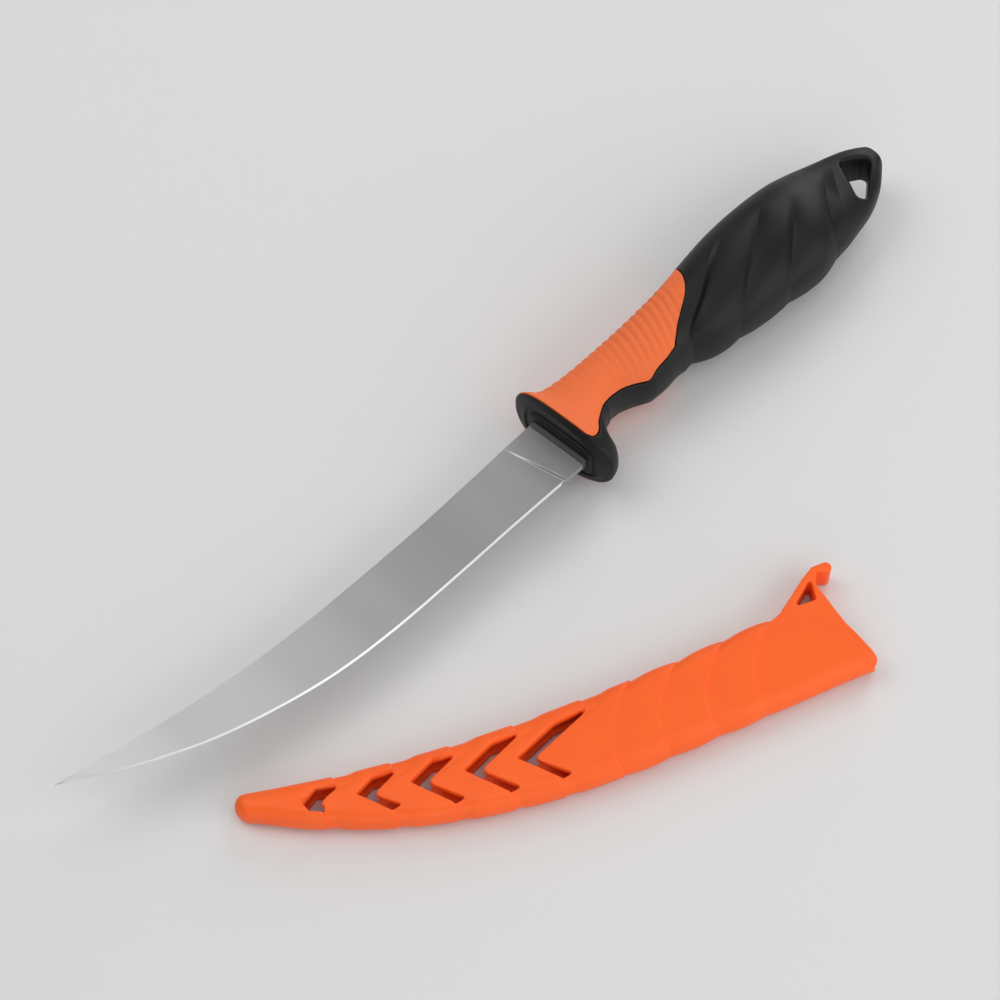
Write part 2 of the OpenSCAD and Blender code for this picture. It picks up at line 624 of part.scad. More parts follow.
module sheath_form() {
    loft(concat(
        [for (f = point_row_shares) shell_ring(0, f)],
        [for (k = [1:windows + plain_scales], f = scale_row_shares) shell_ring(k, f)]
    ));
}

module slot_form() {
    mid = (sheath_t - scale_step / 2) / 2;
    loft([for (s = slot_row_shares) let (
        flare = s < slot_flare_from ? 0 : slot_flare_share * slot_t,
        u = sheath_l * s,
        top = upper_v(s) - edge_wall + flare,
        low = lower_v(s) + edge_wall - flare,
        half = slot_t / 2 + flare,
        bend = half / 2,
        lean = -tan(mouth_lean) * max(s - slot_lean_from, 0) / (1 - slot_lean_from)
    ) [for (p = [[low, bend - half], [low, half - bend], [low + bend, half], [top - bend, half],
        [top, half - bend], [top, bend - half], [top - bend, -half], [low + bend, -half]])
        [u + lean * (p.x - (top + low) / 2), p.x, mid + p.y]]]);
}

// Chevron whose arms open round a blunt tongue that points at the apex
module window(k) {
    r = window_round_share * window_w;
    apex = [sheath_l * apex_share(k), sheath_w * apex_shares[k]];
    bend = apex + window_pitch * bend_shares[k] + [r, -r];
    top = apex + window_pitch * top_shares[k] - [r, r];
    near = apex + [2 * r, 0];
    tongue = [for (share = tongue_shares) apex + window_pitch * share - [r, 0]];
    module patch(points) {
        hull()
            for (p = points)
                translate(p)
                    circle(r = r, $fn = 16);
    }
    translate([0, 0, -over])
        linear_extrude(height = sheath_t + 2 * over) {
            patch([near, bend, tongue[0]]);
            patch([bend, top, tongue[0]]);
            patch([near, tongue[0], tongue[1]]);
            patch([near, tongue[1], tongue[2]]);
            patch([near, tongue[2], apex + window_pitch * low_left_shares[k],
                apex + window_pitch * low_right_shares[k]]);
        }
}

// Latch arm over the mouth, with its rounded nose and the hole through its web
module hook() {
    r = hook_t / 2;
    function at(share, size) = [share.x * sheath_l, share.y * sheath_w, size];
    module bar(points) {
        hull()
            for (p = points)
                translate([p.x, p.y])
                    circle(r = p.z, $fn = 24);
    }
    base = at(hook_base_shares, r);
    knee = at(hook_knee_shares, r);
    elbow = at(hook_elbow_shares, r);
    shoulder = at(hook_shoulder_shares, r);
    throat = at(hook_throat_shares, r);
    translate([0, 0, scale_step / 2])
        linear_extrude(height = sheath_t - scale_step)
            difference() {
                union() {
                    bar([base, knee]);
                    bar([knee, shoulder]);
                    bar([shoulder, at(hook_nose_shares, nose_r)]);
                    bar([shoulder, elbow, throat]);
                    bar([knee, elbow, throat, at(hook_rim_shares, r), at(hook_sill_shares, r)]);
                }
                bar([for (c = hook_hole_shares) at(c, hook_hole_round_share * r)]);
            }
}

module sheath() {
    color("#ff6a2a")
        laid_sheath()
            difference() {
                union() {
                    sheath_form();
                    hook();
                }
                slot_form();
                for (k = [0:windows - 1])
                    window(k);
            }
}

blade();
core();
overmould();
grip();
sheath();
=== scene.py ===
"""Fillet knife beside its slotted sheath: fine surfaces, finishes, light and camera.

Shapes are worked out in millimetres, in the knife's or the sheath's own frame, and
put into the part's frame in metres when they become a mesh.
"""
import logging
import math
from dataclasses import dataclass
from enum import Enum

import bpy
import numpy as np
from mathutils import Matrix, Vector


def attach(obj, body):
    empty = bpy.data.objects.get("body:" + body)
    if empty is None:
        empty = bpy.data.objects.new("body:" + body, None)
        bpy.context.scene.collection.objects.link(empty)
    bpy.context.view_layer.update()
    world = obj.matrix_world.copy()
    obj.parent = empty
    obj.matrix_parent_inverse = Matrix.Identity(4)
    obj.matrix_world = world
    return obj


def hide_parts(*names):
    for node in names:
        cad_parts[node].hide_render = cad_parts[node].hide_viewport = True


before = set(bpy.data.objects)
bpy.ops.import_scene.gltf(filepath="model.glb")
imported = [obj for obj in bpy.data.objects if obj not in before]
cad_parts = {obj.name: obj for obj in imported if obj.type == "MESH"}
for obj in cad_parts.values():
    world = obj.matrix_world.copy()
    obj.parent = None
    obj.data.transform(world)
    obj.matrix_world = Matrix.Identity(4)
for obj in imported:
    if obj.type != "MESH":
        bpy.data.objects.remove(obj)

LOG = logging.getLogger("fillet_knife")
MM = 0.001


class Body(Enum):
    """The part's moving bodies."""

    KNIFE = "knife"
    SHEATH = "sheath"


class Slot(Enum):
    """The record's material slots."""

    STEEL = "blade_steel"
    CORE = "core_plastic"
    BLACK = "black_rubber"
    GRIP = "orange_rubber"
    SHEATH = "orange_plastic"


class Cut(Enum):
    """How a tool solid changes the solid that it meets."""

    TAKE = "DIFFERENCE"
    ADD = "UNION"


def curve(table: list, places: np.ndarray) -> np.ndarray:
    """Smooth curve through a table of places and values.

    Between two places the value is the cubic with the table's central slopes at
    both ends, and beyond the table it keeps the end value.

    Args:
        table: Rows of place and value, in rising order of place.
        places: Where the curve is wanted.

    Returns:
        The curve's values, in the shape of places.
    """
    place, value = np.asarray(table, float).T
    before = np.maximum(np.arange(len(place)) - 1, 0)
    after = np.minimum(np.arange(len(place)) + 1, len(place) - 1)
    slope = (value[after] - value[before]) / (place[after] - place[before])
    i = np.clip(np.searchsorted(place, places, side="right") - 1, 0, len(place) - 2)
    run = place[i + 1] - place[i]
    f = np.clip((places - place[i]) / run, 0, 1)
    near = value[i] * (1 + 2 * f) * (1 - f) ** 2 + slope[i] * run * f * (1 - f) ** 2
    far = value[i + 1] * f * f * (3 - 2 * f) - slope[i + 1] * run * f * f * (1 - f)
    return near + far


def straight(table: list, places: np.ndarray) -> np.ndarray:
    """Straight lines through a table of places and values.

    Args:
        table: Rows of place and value, in rising order of place.
        places: Where the values are wanted.

    Returns:
        The values, in the shape of places.
    """
    place, value = np.asarray(table, float).T
    return np.interp(places, place, value)


def signed_power(value: np.ndarray, power: float) -> np.ndarray:
    """The value's size raised to a power, with the value's sign."""
    return np.sign(value) * np.abs(value) ** power


def smooth(value: np.ndarray) -> np.ndarray:
    """Soft step from 0 to 1 as value goes from 0 to 1."""
    f = np.clip(value, 0, 1)
    return f * f * (3 - 2 * f)


def closing(depth: np.ndarray, run: float) -> np.ndarray:
    """Size of a rounded end at a depth into it, sqrt(1 - (1 - depth / run)²) up to 1.

    Args:
        depth: Distance in from the end's tip.
        run: Distance over which the end closes.

    Returns:
        The size, a little over 0 at the tip and 1 from the run on.
    """
    f = np.clip(depth / run, 0, 1)
    return np.sqrt(np.maximum(1 - (1 - f) ** 2, 1e-4))


def laid(points: np.ndarray, turn: float, place: tuple) -> np.ndarray:
    """Turns points about +Z and moves them to where a piece lies.

    Args:
        points: Points in the piece's own frame, in millimetres.
        turn: Angle in radians.
        place: Where the piece's own origin lies, in millimetres.

    Returns:
        The points in the part's frame, in millimetres.
    """
    x, y, z = np.moveaxis(points, -1, 0)
    along = x * math.cos(turn) - y * math.sin(turn) + place[0]
    across = x * math.sin(turn) + y * math.cos(turn) + place[1]
    return np.stack([along, across, z + place[2]], axis=-1)


def ring_faces(rows: int, steps: int) -> list:
    """Quads of a tube of closed rings, with a fan over each end.

    Args:
        rows: Number of rings.
        steps: Points in each ring.

    Returns:
        The quads and the triangles over the points row by row, followed by the two
        end middles.
    """
    i, j = np.meshgrid(np.arange(rows - 1), np.arange(steps), indexing="ij")
    a = i * steps + j
    b = i * steps + (j + 1) % steps
    sides = np.stack([a, b, b + steps, a + steps], axis=-1).reshape(-1, 4)
    first = np.arange(steps)
    after = (first + 1) % steps
    last = (rows - 1) * steps
    near = np.stack([after, first, np.full(steps, rows * steps)], axis=-1)
    far = np.stack([last + first, last + after, np.full(steps, rows * steps + 1)], axis=-1)
    return [sides, near, far]


def sheet_faces(rows: int, columns: int) -> list:
    """Faces of a walled sheet: an outer grid, then an inner one, joined all round.

    Args:
        rows: Rows of each grid.
        columns: Columns of each grid.

    Returns:
        Arrays of quads over the outer grid's points followed by the inner grid's.
    """
    under = rows * columns
    i, j = np.meshgrid(np.arange(rows - 1), np.arange(columns - 1), indexing="ij")
    a = i * columns + j
    outer = np.stack([a, a + 1, a + columns + 1, a + columns], axis=-1).reshape(-1, 4)
    rim = np.concatenate([
        np.arange(columns - 1),
        np.arange(rows - 1) * columns + columns - 1,
        rows * columns - 1 - np.arange(columns - 1),
        (rows - 1 - np.arange(rows - 1)) * columns,
    ])
    after = np.roll(rim, -1)
    wall = np.stack([after, rim, rim + under, after + under], axis=-1)
    return [outer, outer[:, ::-1] + under, wall]


def outward(points: np.ndarray, faces: list) -> list:
    """Turns a closed solid's faces so that they face outwards.

    Six times the solid's volume is the sum of a · (b × c) over its triangles, and it
    is below zero when the faces face inwards.

    Args:
        points: The solid's points.
        faces: Arrays of faces over those points, one row for each face.

    Returns:
        The faces, turned over where the volume is below zero.
    """
    volume = 0.0
    for block in faces:
        for k in range(1, block.shape[1] - 1):
            a, b, c = points[block[:, 0]], points[block[:, k]], points[block[:, k + 1]]
            volume += float(np.einsum("ij,ij->", a, np.cross(b, c)))
    return [block if volume > 0 else block[:, ::-1] for block in faces]


def new_piece(name: str, points: np.ndarray, faces: list) -> bpy.types.Object:
    """Makes a solid as a mesh object at the origin, with its place in its mesh.

    Args:
        name: The piece's name.
        points: Points in the part's frame, in millimetres.
        faces: Arrays of faces over those points.

    Returns:
        The new object, linked to the scene.
    """
    points = points.reshape(-1, 3)
    turned = [face for block in outward(points, faces) for face in block.tolist()]
    mesh = bpy.data.meshes.new(name)
    mesh.from_pydata((points * MM).tolist(), [], turned)
    piece = bpy.data.objects.new(name, mesh)
    bpy.context.scene.collection.objects.link(piece)
    return piece


def tube(name: str, rings: np.ndarray, turn: float, place: tuple) -> bpy.types.Object:
    """Closed solid through a row of rings.

    Args:
        name: The piece's name.
        rings: Rows of ring points in the piece's own frame, in millimetres.
        turn: Angle that the piece lies at, in radians.
        place: Where its own origin lies, in millimetres.

    Returns:
        The new object.
    """
    ends = np.stack([rings[0].mean(axis=0), rings[-1].mean(axis=0)])
    points = np.concatenate([rings.reshape(-1, 3), ends])
    return new_piece(name, laid(points, turn, place), ring_faces(*rings.shape[:2]))


def carve(piece: bpy.types.Object, tool: bpy.types.Object, cut: Cut) -> None:
    """Cuts a tool solid out of a piece, or joins it on, and removes the tool.

    Args:
        piece: The solid that changes.
        tool: The solid that is used up.
        cut: Whether the tool is taken away or added.
    """
    step = piece.modifiers.new("carve", "BOOLEAN")
    step.solver = "MANIFOLD"
    step.operation = cut.value
    step.object = tool
    seen = piece.evaluated_get(bpy.context.evaluated_depsgraph_get())
    mesh = bpy.data.meshes.new_from_object(seen)
    worn = [piece.data, tool.data]
    piece.modifiers.clear()
    piece.data = mesh
    bpy.data.objects.remove(tool)
    for old in worn:
        bpy.data.meshes.remove(old)


def shade(piece: bpy.types.Object, crease: float) -> None:
    """Shades a piece smooth, apart from edges sharper than crease degrees."""
    piece.data.shade_smooth()
    piece.data.set_sharp_from_angle(angle=math.radians(crease))


def disc_ring(middles: np.ndarray, radii: np.ndarray, steps: int) -> np.ndarray:
    """Outline of the smallest convex shape round some discs.

    In each direction the outline's point is the farthest that any disc reaches.

    Args:
        middles: The discs' middles.
        radii: The discs' radii.
        steps: Number of directions.

    Returns:
        The outline's points, anticlockwise.
    """
    angle = (np.arange(steps) + 0.5) * 2 * math.pi / steps
    way = np.stack([np.cos(angle), np.sin(angle)], axis=-1)
    pick = np.argmax(middles @ way.T + radii[:, None], axis=0)
    return middles[pick] + radii[pick, None] * way


def past_hull(points: np.ndarray, corners: np.ndarray) -> np.ndarray:
    """Distance from a convex outline, below zero inside it.

    Args:
        points: Points in the plane.
        corners: The outline's corners, in any order.

    Returns:
        One distance for each point.
    """
    middle = corners.mean(axis=0)
    around = np.argsort(np.arctan2(*(corners - middle).T[::-1]))
    corners = corners[around]
    gap = np.full(points.shape[:-1], np.inf)
    inside = np.full(points.shape[:-1], True)
    for near, far in zip(corners, np.roll(corners, -1, axis=0)):
        edge = far - near
        reach = points - near
        share = np.clip(reach @ edge / max(edge @ edge, 1e-9), 0, 1)
        gap = np.minimum(gap, np.linalg.norm(reach - share[..., None] * edge, axis=-1))
        inside &= edge[0] * reach[..., 1] - edge[1] * reach[..., 0] >= 0
    return np.where(inside, -gap, gap)


def rim_drop(gap: np.ndarray, radius: float) -> np.ndarray:
    """How far a rounded rim drops below the face at a distance from its hole.

    It is the quarter round radius - sqrt(radius² - (radius - gap)²).

    Args:
        gap: Distance from the hole's outline, below zero inside it.
        radius: The rounding's radius.

    Returns:
        The drop, from 0 at the radius to the whole radius at the hole.
    """
    f = 1 - np.clip(gap / radius, 0, 1)
    return radius * (1 - np.sqrt(1 - f * f))


@dataclass
class Layout:
    """Where the knife and the sheath lie, as the part's source places them."""

    lie_turn: float = math.radians(26.3)
    point_ahead: float = 43.5
    point_beside: float = 17.0
    blade_l: float = 166.0
    blade_h: float = 19.4
    handle_l: float = 138.0
    handle_h: float = 31.5
    half_w: float = 12.6
    sheath_w: float = 24.9
    tip_share: float = 1.035
    butt_shares: tuple = (0.99, 0.955, 0.345)
    belly_share: float = 0.99

    def heel(self) -> np.ndarray:
        """The blade's heel from the sheath's point, in millimetres."""
        cos, sin = math.cos(self.lie_turn), math.sin(self.lie_turn)
        rise = self.tip_share * self.blade_h
        along = self.blade_l * cos + rise * sin - self.point_ahead
        across = self.blade_l * sin - rise * cos + self.point_beside
        return np.array([along, across])

    def middle(self) -> np.ndarray:
        """Middle of the floor that both cover, from the sheath's point."""
        cos, sin = math.cos(self.lie_turn), math.sin(self.lie_turn)
        a, b, c = self.butt_shares
        far = self.heel() + [self.handle_l * a * cos, self.handle_l * b * sin + self.handle_h * c * cos]
        return (np.array([-self.point_ahead, -self.belly_share * self.sheath_w]) + far) / 2

    def knife(self) -> tuple:
        """Turn and place of the knife's own frame."""
        x, y = self.heel() - self.middle()
        return self.lie_turn, (x, y, self.half_w)

    def sheath(self) -> tuple:
        """Turn and place of the sheath's own frame."""
        x, y = -self.middle()
        return 0.0, (x, y, 0.0)


class Sheet:
    """A material's or group's nodes, laid out as they are made."""

    def __init__(self, tree: bpy.types.NodeTree) -> None:
        """Starts on a node tree."""
        self.tree = tree
        self.made = 0

    def add(self, kind: str, inputs: dict | None = None, **settings: object) -> bpy.types.Node:
        """Adds a node.

        Args:
            kind: The node's type name, without its ShaderNode prefix.
            inputs: Values or source sockets for its input sockets.
            **settings: Values for the node's own properties.

        Returns:
            The new node.
        """
        node = self.tree.nodes.new("ShaderNode" + kind)
        self.made += 1
        node.location = (self.made * 40, -self.made * 30)
        for key, value in settings.items():
            setattr(node, key, value)
        for key, value in (inputs or {}).items():
            if isinstance(value, bpy.types.NodeSocket):
                self.tree.links.new(value, node.inputs[key])
            else:
                node.inputs[key].default_value = value
        return node

    def math(self, operation: str, first: object, second: object = 0.0) -> bpy.types.NodeSocket:
        """Adds a Math node and returns its result."""
        return self.add("Math", {0: first, 1: second}, operation=operation).outputs[0]

    def ramp(self, source: bpy.types.NodeSocket, low: float, high: float) -> bpy.types.NodeSocket:
        """Clamped straight ramp from 0 at low to 1 at high."""
        node = self.add("MapRange", {"Value": source, "From Min": low, "From Max": high})
        return node.outputs["Result"]

    def mix(self, share: object, first: tuple, second: object) -> bpy.types.NodeSocket:
        """Mixes two colours by a share and returns the colour."""
        node = self.add("Mix", data_type="RGBA")
        pairs = {0: share, 6: first, 7: second}
        for key, value in pairs.items():
            if isinstance(value, bpy.types.NodeSocket):
                self.tree.links.new(value, node.inputs[key])
            else:
                node.inputs[key].default_value = value
        return node.outputs[2]


def new_group(name: str, inputs: dict, outputs: list) -> tuple:
    """Starts a shader node group with number inputs and outputs.

    Args:
        name: The group's name.
        inputs: Each input's name and first value.
        outputs: Each output's name.

    Returns:
        The group, its sheet, its input node and its output node.
    """
    group = bpy.data.node_groups.new(name, "ShaderNodeTree")
    for key, value in inputs.items():
        socket = group.interface.new_socket(key, in_out="INPUT", socket_type="NodeSocketFloat")
        socket.default_value = value
    for key in outputs:
        group.interface.new_socket(key, in_out="OUTPUT", socket_type="NodeSocketFloat")
    sheet = Sheet(group)
    source = group.nodes.new("NodeGroupInput")
    sink = group.nodes.new("NodeGroupOutput")
    return group, sheet, source, sink


def mould_grain() -> bpy.types.NodeTree:
    """Fine moulded grain: two sizes of pebble, and slow patches over the surface.

    Returns:
        A group that puts out a height and a patch mask from 0 to 1.
    """
    inputs = {"Grain per metre": 4000.0, "Patches per metre": 60.0}
    group, sheet, source, sink = new_group("mould_grain", inputs, ["Height", "Patch"])
    place = sheet.add("TexCoord").outputs["Object"]
    grain = source.outputs["Grain per metre"]
    fine = sheet.add("TexNoise", {"Vector": place, "Scale": grain, "Detail": 2.0})
    wide_scale = sheet.math("MULTIPLY", grain, 0.31)
    wide = sheet.add("TexNoise", {"Vector": place, "Scale": wide_scale, "Detail": 1.0})
    height = sheet.math("ADD", fine.outputs["Fac"], wide.outputs["Fac"])
    patch_scale = source.outputs["Patches per metre"]
    patch = sheet.add("TexNoise", {"Vector": place, "Scale": patch_scale, "Detail": 3.0})
    group.links.new(sheet.math("MULTIPLY", height, 0.5), sink.inputs["Height"])
    group.links.new(sheet.ramp(patch.outputs["Fac"], 0.35, 0.65), sink.inputs["Patch"])
    return group


def ground_lines() -> bpy.types.NodeTree:
    """Fine parallel lines that a grinding belt leaves, turned to follow the blade.

    Returns:
        A group that puts out a line height and a slow patch mask.
    """
    inputs = {"Turn": 0.0, "Lines per metre": 9000.0, "Patches per metre": 30.0}
    group, sheet, source, sink = new_group("ground_lines", inputs, ["Height", "Patch"])
    place = sheet.add("TexCoord").outputs["Object"]
    turn = sheet.add("CombineXYZ", {"Z": source.outputs["Turn"]}).outputs[0]
    along = sheet.add("Mapping", {"Vector": place, "Rotation": turn}).outputs[0]
    squeeze = sheet.add("VectorMath", {0: along, 1: (1.0, 0.02, 1.0)}, operation="MULTIPLY").outputs[0]
    lines = sheet.add("TexNoise", {
        "Vector": squeeze, "Scale": source.outputs["Lines per metre"], "Detail": 3.0,
    })
    patch = sheet.add("TexNoise", {
        "Vector": squeeze, "Scale": source.outputs["Patches per metre"], "Detail": 2.0,
    })
    group.links.new(lines.outputs["Fac"], sink.inputs["Height"])
    group.links.new(sheet.ramp(patch.outputs["Fac"], 0.3, 0.7), sink.inputs["Patch"])
    return group


@dataclass(frozen=True)
class MouldedFinish:
    """Moulded rubber or plastic with fine grain, patches, and painted light where a piece carries the
    mark: painted shade in the grip's rib valleys.
    """

    name: str
    colour: tuple
    patch_colour: tuple
    # painted light: the paler colour mixed in where the piece's mark is high, which leaves painted
    # shade in the grip's rib valleys
    painted_light_colour: tuple
    roughness: float
    patch_roughness: float
    grain_per_metre: float
    grain_height: float
    specular: float = 0.5

    def build(self, grain: bpy.types.NodeTree) -> bpy.types.Material:
        """Makes the material.

        Args:
            grain: The shared mould_grain group.

        Returns:
            The finished material.
        """
        material = bpy.data.materials.new(self.name)
        material.use_nodes = True
        tree = material.node_tree
        shader = tree.nodes["Principled BSDF"]
        sheet = Sheet(tree)
        group = sheet.add("Group", node_tree=grain)
        group.inputs["Grain per metre"].default_value = self.grain_per_metre
        patch = group.outputs["Patch"]
        # painted light: the colour moves to the paler painted-light colour by the piece's mark, and
        # stays plain on unmarked pieces
        painted_light = sheet.add("Attribute", attribute_name="painted_light").outputs["Fac"]
        body = sheet.mix(patch, self.colour, self.patch_colour)
        tree.links.new(sheet.mix(painted_light, body, self.painted_light_colour), shader.inputs["Base Color"])
        rough = sheet.add("MapRange", {
            "Value": patch, "To Min": self.roughness, "To Max": self.patch_roughness,
        })
        tree.links.new(rough.outputs["Result"], shader.inputs["Roughness"])
        bump = sheet.add("Bump", {
            "Height": group.outputs["Height"], "Strength": 1.0, "Distance": self.grain_height,
        })
        tree.links.new(bump.outputs["Normal"], shader.inputs["Normal"])
        shader.inputs["Specular IOR Level"].default_value = self.specular
        return material


@dataclass(frozen=True)
class GroundSteel:
    """Satin ground steel whose lines run across the blade, with a painted highlight on the bevel and
    the spine.
    """

    name: str
    colour: tuple
    patch_colour: tuple
    # painted highlight: the near-white colour that the bevel and the spine's corner are mixed towards
    painted_highlight_colour: tuple
    roughness: float
    patch_roughness: float
    turn: float
    line_height: float = 0.00001
    line_strength: float = 0.4

    def build(self, lines: bpy.types.NodeTree) -> bpy.types.Material:
        """Makes the material.

        Args:
            lines: The shared ground_lines group.

        Returns:
            The finished material.
        """
        material = bpy.data.materials.new(self.name)
        material.use_nodes = True
        tree = material.node_tree
        shader = tree.nodes["Principled BSDF"]
        sheet = Sheet(tree)
        group = sheet.add("Group", node_tree=lines)
        group.inputs["Turn"].default_value = -self.turn
        patch = group.outputs["Patch"]
        # painted highlight: mix towards the near-white colour on the bevel and the spine's corner, by
        # the piece's mark
        painted_light = sheet.add("Attribute", attribute_name="painted_light").outputs["Fac"]
        body = sheet.mix(patch, self.colour, self.patch_colour)
        tree.links.new(sheet.mix(painted_light, body, self.painted_highlight_colour), shader.inputs["Base Color"])
        rough = sheet.add("MapRange", {
            "Value": patch, "To Min": self.roughness, "To Max": self.patch_roughness,
        })
        tree.links.new(rough.outputs["Result"], shader.inputs["Roughness"])
        bump = sheet.add("Bump", {
            "Height": group.outputs["Height"], "Strength": self.line_strength,
            "Distance": self.line_height,
        })
        tree.links.new(bump.outputs["Normal"], shader.inputs["Normal"])
        shader.inputs["Metallic"].default_value = 1.0
        return material


def mark(piece: bpy.types.Object, values: np.ndarray) -> None:
    """Stores a painted-light share from 0 to 1 at each point or face, for the finishes to read."""
    domain = "POINT" if len(values) == len(piece.data.vertices) else "FACE"
    attribute = piece.data.attributes.new("painted_light", "FLOAT", domain)
    attribute.data.foreach_set("value", np.clip(values, 0, 1).astype(np.float32).ravel())


def face_middles(piece: bpy.types.Object, turn: float, place: tuple) -> np.ndarray:
    """Middles of a piece's faces in the piece's own frame, in millimetres."""
    middles = np.empty(len(piece.data.polygons) * 3)
    piece.data.polygons.foreach_get("center", middles)
    x, y, z = (middles.reshape(-1, 3) / MM - place).T
    along = x * math.cos(turn) + y * math.sin(turn)
    across = y * math.cos(turn) - x * math.sin(turn)
    return np.stack([along, across, z], axis=-1)


@dataclass
class Blade:
    """The ground blade with its tang, in the knife's own frame.

    The heel is the origin, the blade runs towards -x and its spine is towards +y.
    """

    length: float = 166.0
    height: float = 19.4
    thick: float = 2.0
    bevel_thick: float = 0.6
    edge_thick: float = 0.12
    bevel_h: float = 0.6
    ricasso: float = 8.1
    choil_r: float = 0.8
    choil_share: float = 0.84
    choil_rise: float = 0.33
    plunge_slant: float = 0.28
    plunge_run: float = 0.7
    spine_taper: float = 0.35
    face_slope: float = 0.05
    bevel_taper: float = 0.3
    spine_round: float = 0.14
    guard_lean: float = math.radians(4.5)
    tang_l: float = 84.0
    tang_h: float = 6.4
    tang_mid: float = 5.9
    tang_hole_r: float = 1.8
    tang_holes: int = 3
    tang_start: float = -1.5
    tang_least: float = 0.1
    end_angles: tuple = (0.15, 1.5)
    slant_end: float = 9.0
    bevel_most: float = 0.45
    round_most: float = 0.2
    row_gap: float = 0.1
    row_power: float = 0.97
    rows: int = 220
    corner_steps: int = 5
    face_steps: int = 14
    bevel_steps: int = 4
    hole_steps: int = 40
    crease: float = 8.0
    spine_shares: tuple = (
        (0, 0.51), (0.13, 0.465), (0.27, 0.425), (0.41, 0.422), (0.54, 0.445),
        (0.66, 0.52), (0.78, 0.655), (0.885, 0.82), (0.96, 0.96), (1, 1.04),
    )
    edge_shares: tuple = (
        (0, -0.495), (0.15, -0.495), (0.295, -0.51), (0.43, -0.505), (0.55, -0.43),
        (0.66, -0.25), (0.765, 0.01), (0.855, 0.335), (0.915, 0.595), (0.964, 0.865), (1, 1.03),
    )
    # painted highlight along the bevel, fading towards the point, and along the spine's corner, as
    # shares along the blade
    bevel_painted_highlight: tuple = ((0, 1), (0.45, 1), (0.6, 0.7), (0.75, 0.25), (1, 0.1))
    spine_painted_highlight: tuple = ((0, 0), (0.35, 0), (0.6, 0.8), (1, 0.8))

    def stations(self) -> np.ndarray:
        """Distances from the heel, close together where the grind starts."""
        lead = np.linspace(0, self.ricasso - self.row_gap, 6)
        plunge = self.ricasso + np.linspace(0, self.plunge_run, 9)
        rest = np.linspace(0, 1, self.rows) ** self.row_power
        start = self.ricasso + self.plunge_run + 2 * self.row_gap
        return np.concatenate([lead, plunge, start + (self.length - start) * rest])

    def surface(self) -> np.ndarray:
        """Rings round the blade, from the heel to the point.

        Each ring goes down one side and up the other: the spine's rounded corner,
        the flat face that thins from the spine to the bevel, and the bevel down to
        the edge. The grind starts along a slanted line, over which the face sinks
        from the full thickness. Towards the point the spine thins so that the face
        never slopes more than face_slope.

        Returns:
            Rows of ring points.
        """
        x = self.stations()[:, None]
        share = x / self.length
        top = self.height * curve(self.spine_shares, share)
        low = self.height * curve(self.edge_shares, share)
        bevel = np.minimum(self.bevel_h, (top - low) * self.bevel_most)
        ground = smooth((x - self.ricasso) / self.plunge_run)
        thin = self.bevel_thick * (1 - self.bevel_taper * share)
        face = (self.thick + (thin - self.thick) * ground) / 2
        spine = self.thick * (1 - self.spine_taper * share) / 2
        spine = np.minimum(spine, face + self.face_slope * (top - low))
        edge = (self.thick + (self.edge_thick - self.thick) * ground) / 2
        soft = np.minimum(self.spine_round, (top - low) * self.round_most)
        turn = np.linspace(0, math.pi / 2, self.corner_steps)[None, :]
        corner_y = top - soft * (1 - np.cos(turn))
        corner_z = spine - soft * (1 - np.sin(turn))
        down = np.linspace(0, 1, self.face_steps)[None, 1:]
        face_y = (top - soft) + (low + bevel - top + soft) * down
        face_z = spine + (face - spine) * down
        last = np.linspace(0, 1, self.bevel_steps)[None, 1:]
        bevel_y = low + bevel * (1 - last)
        bevel_z = face + (edge - face) * last
        y = np.concatenate([corner_y, face_y, bevel_y], axis=1)
        z = np.concatenate([corner_z, face_z, bevel_z], axis=1)
        slant_at = [0, self.ricasso, self.ricasso + self.plunge_run, self.ricasso + self.slant_end]
        slants = [math.tan(self.guard_lean), self.plunge_slant, self.plunge_slant, 0]
        lean = np.interp(x, slant_at, slants)
        y = np.concatenate([y, y[:, ::-1]], axis=1)
        z = np.concatenate([z, -z[:, ::-1]], axis=1)
        return np.stack([-x - lean * y, y, z], axis=-1)

    def tang(self) -> list:
        """Rings of the tang: a bar with a round end, closed at the heel."""
        radius = self.tang_h / 2
        bar = np.linspace(self.tang_start, self.tang_l - radius, 12)
        end = self.tang_l - radius + radius * np.sin(np.linspace(*self.end_angles, 10))
        x = np.concatenate([bar, end])[:, None]
        past = np.maximum(x - self.tang_l + radius, 0)
        half = np.sqrt(np.maximum(radius ** 2 - past ** 2, self.tang_least ** 2))
        corner = np.array([[1, 1], [-1, 1], [-1, -1], [1, -1]])
        y = self.tang_mid + half * corner[None, :, 0]
        z = self.thick / 2 * corner[None, :, 1] + 0 * x
        return np.stack([x + 0 * y, y, z], axis=-1)

    def build(self, place: tuple) -> bpy.types.Object:
        """Makes the blade: the ground form, its tang, the tang's holes and the choil, with a painted
        highlight marked on the bevel and the spine.

        Args:
            place: Turn and place of the knife's own frame.

        Returns:
            The finished piece.
        """
        rings = self.surface()
        piece = tube("blade_fine", rings, *place)
        carve(piece, tube("tang", self.tang(), *place), Cut.ADD)
        low = self.height * self.edge_shares[0][1]
        spots = [(self.tang_l * i / (self.tang_holes + 0.5), self.tang_mid, self.tang_hole_r)
                 for i in range(1, self.tang_holes + 1)]
        choil_x = -self.choil_share * self.ricasso
        spots.append((choil_x, low - self.choil_rise * self.choil_r, self.choil_r))
        for x, y, radius in spots:
            angle = np.arange(self.hole_steps) * 2 * math.pi / self.hole_steps
            circle = np.stack([x + radius * np.cos(angle), y + radius * np.sin(angle)], axis=-1)
            carve(piece, prism("hole", circle, (-self.thick, self.thick), place), Cut.TAKE)
        shade(piece, self.crease)
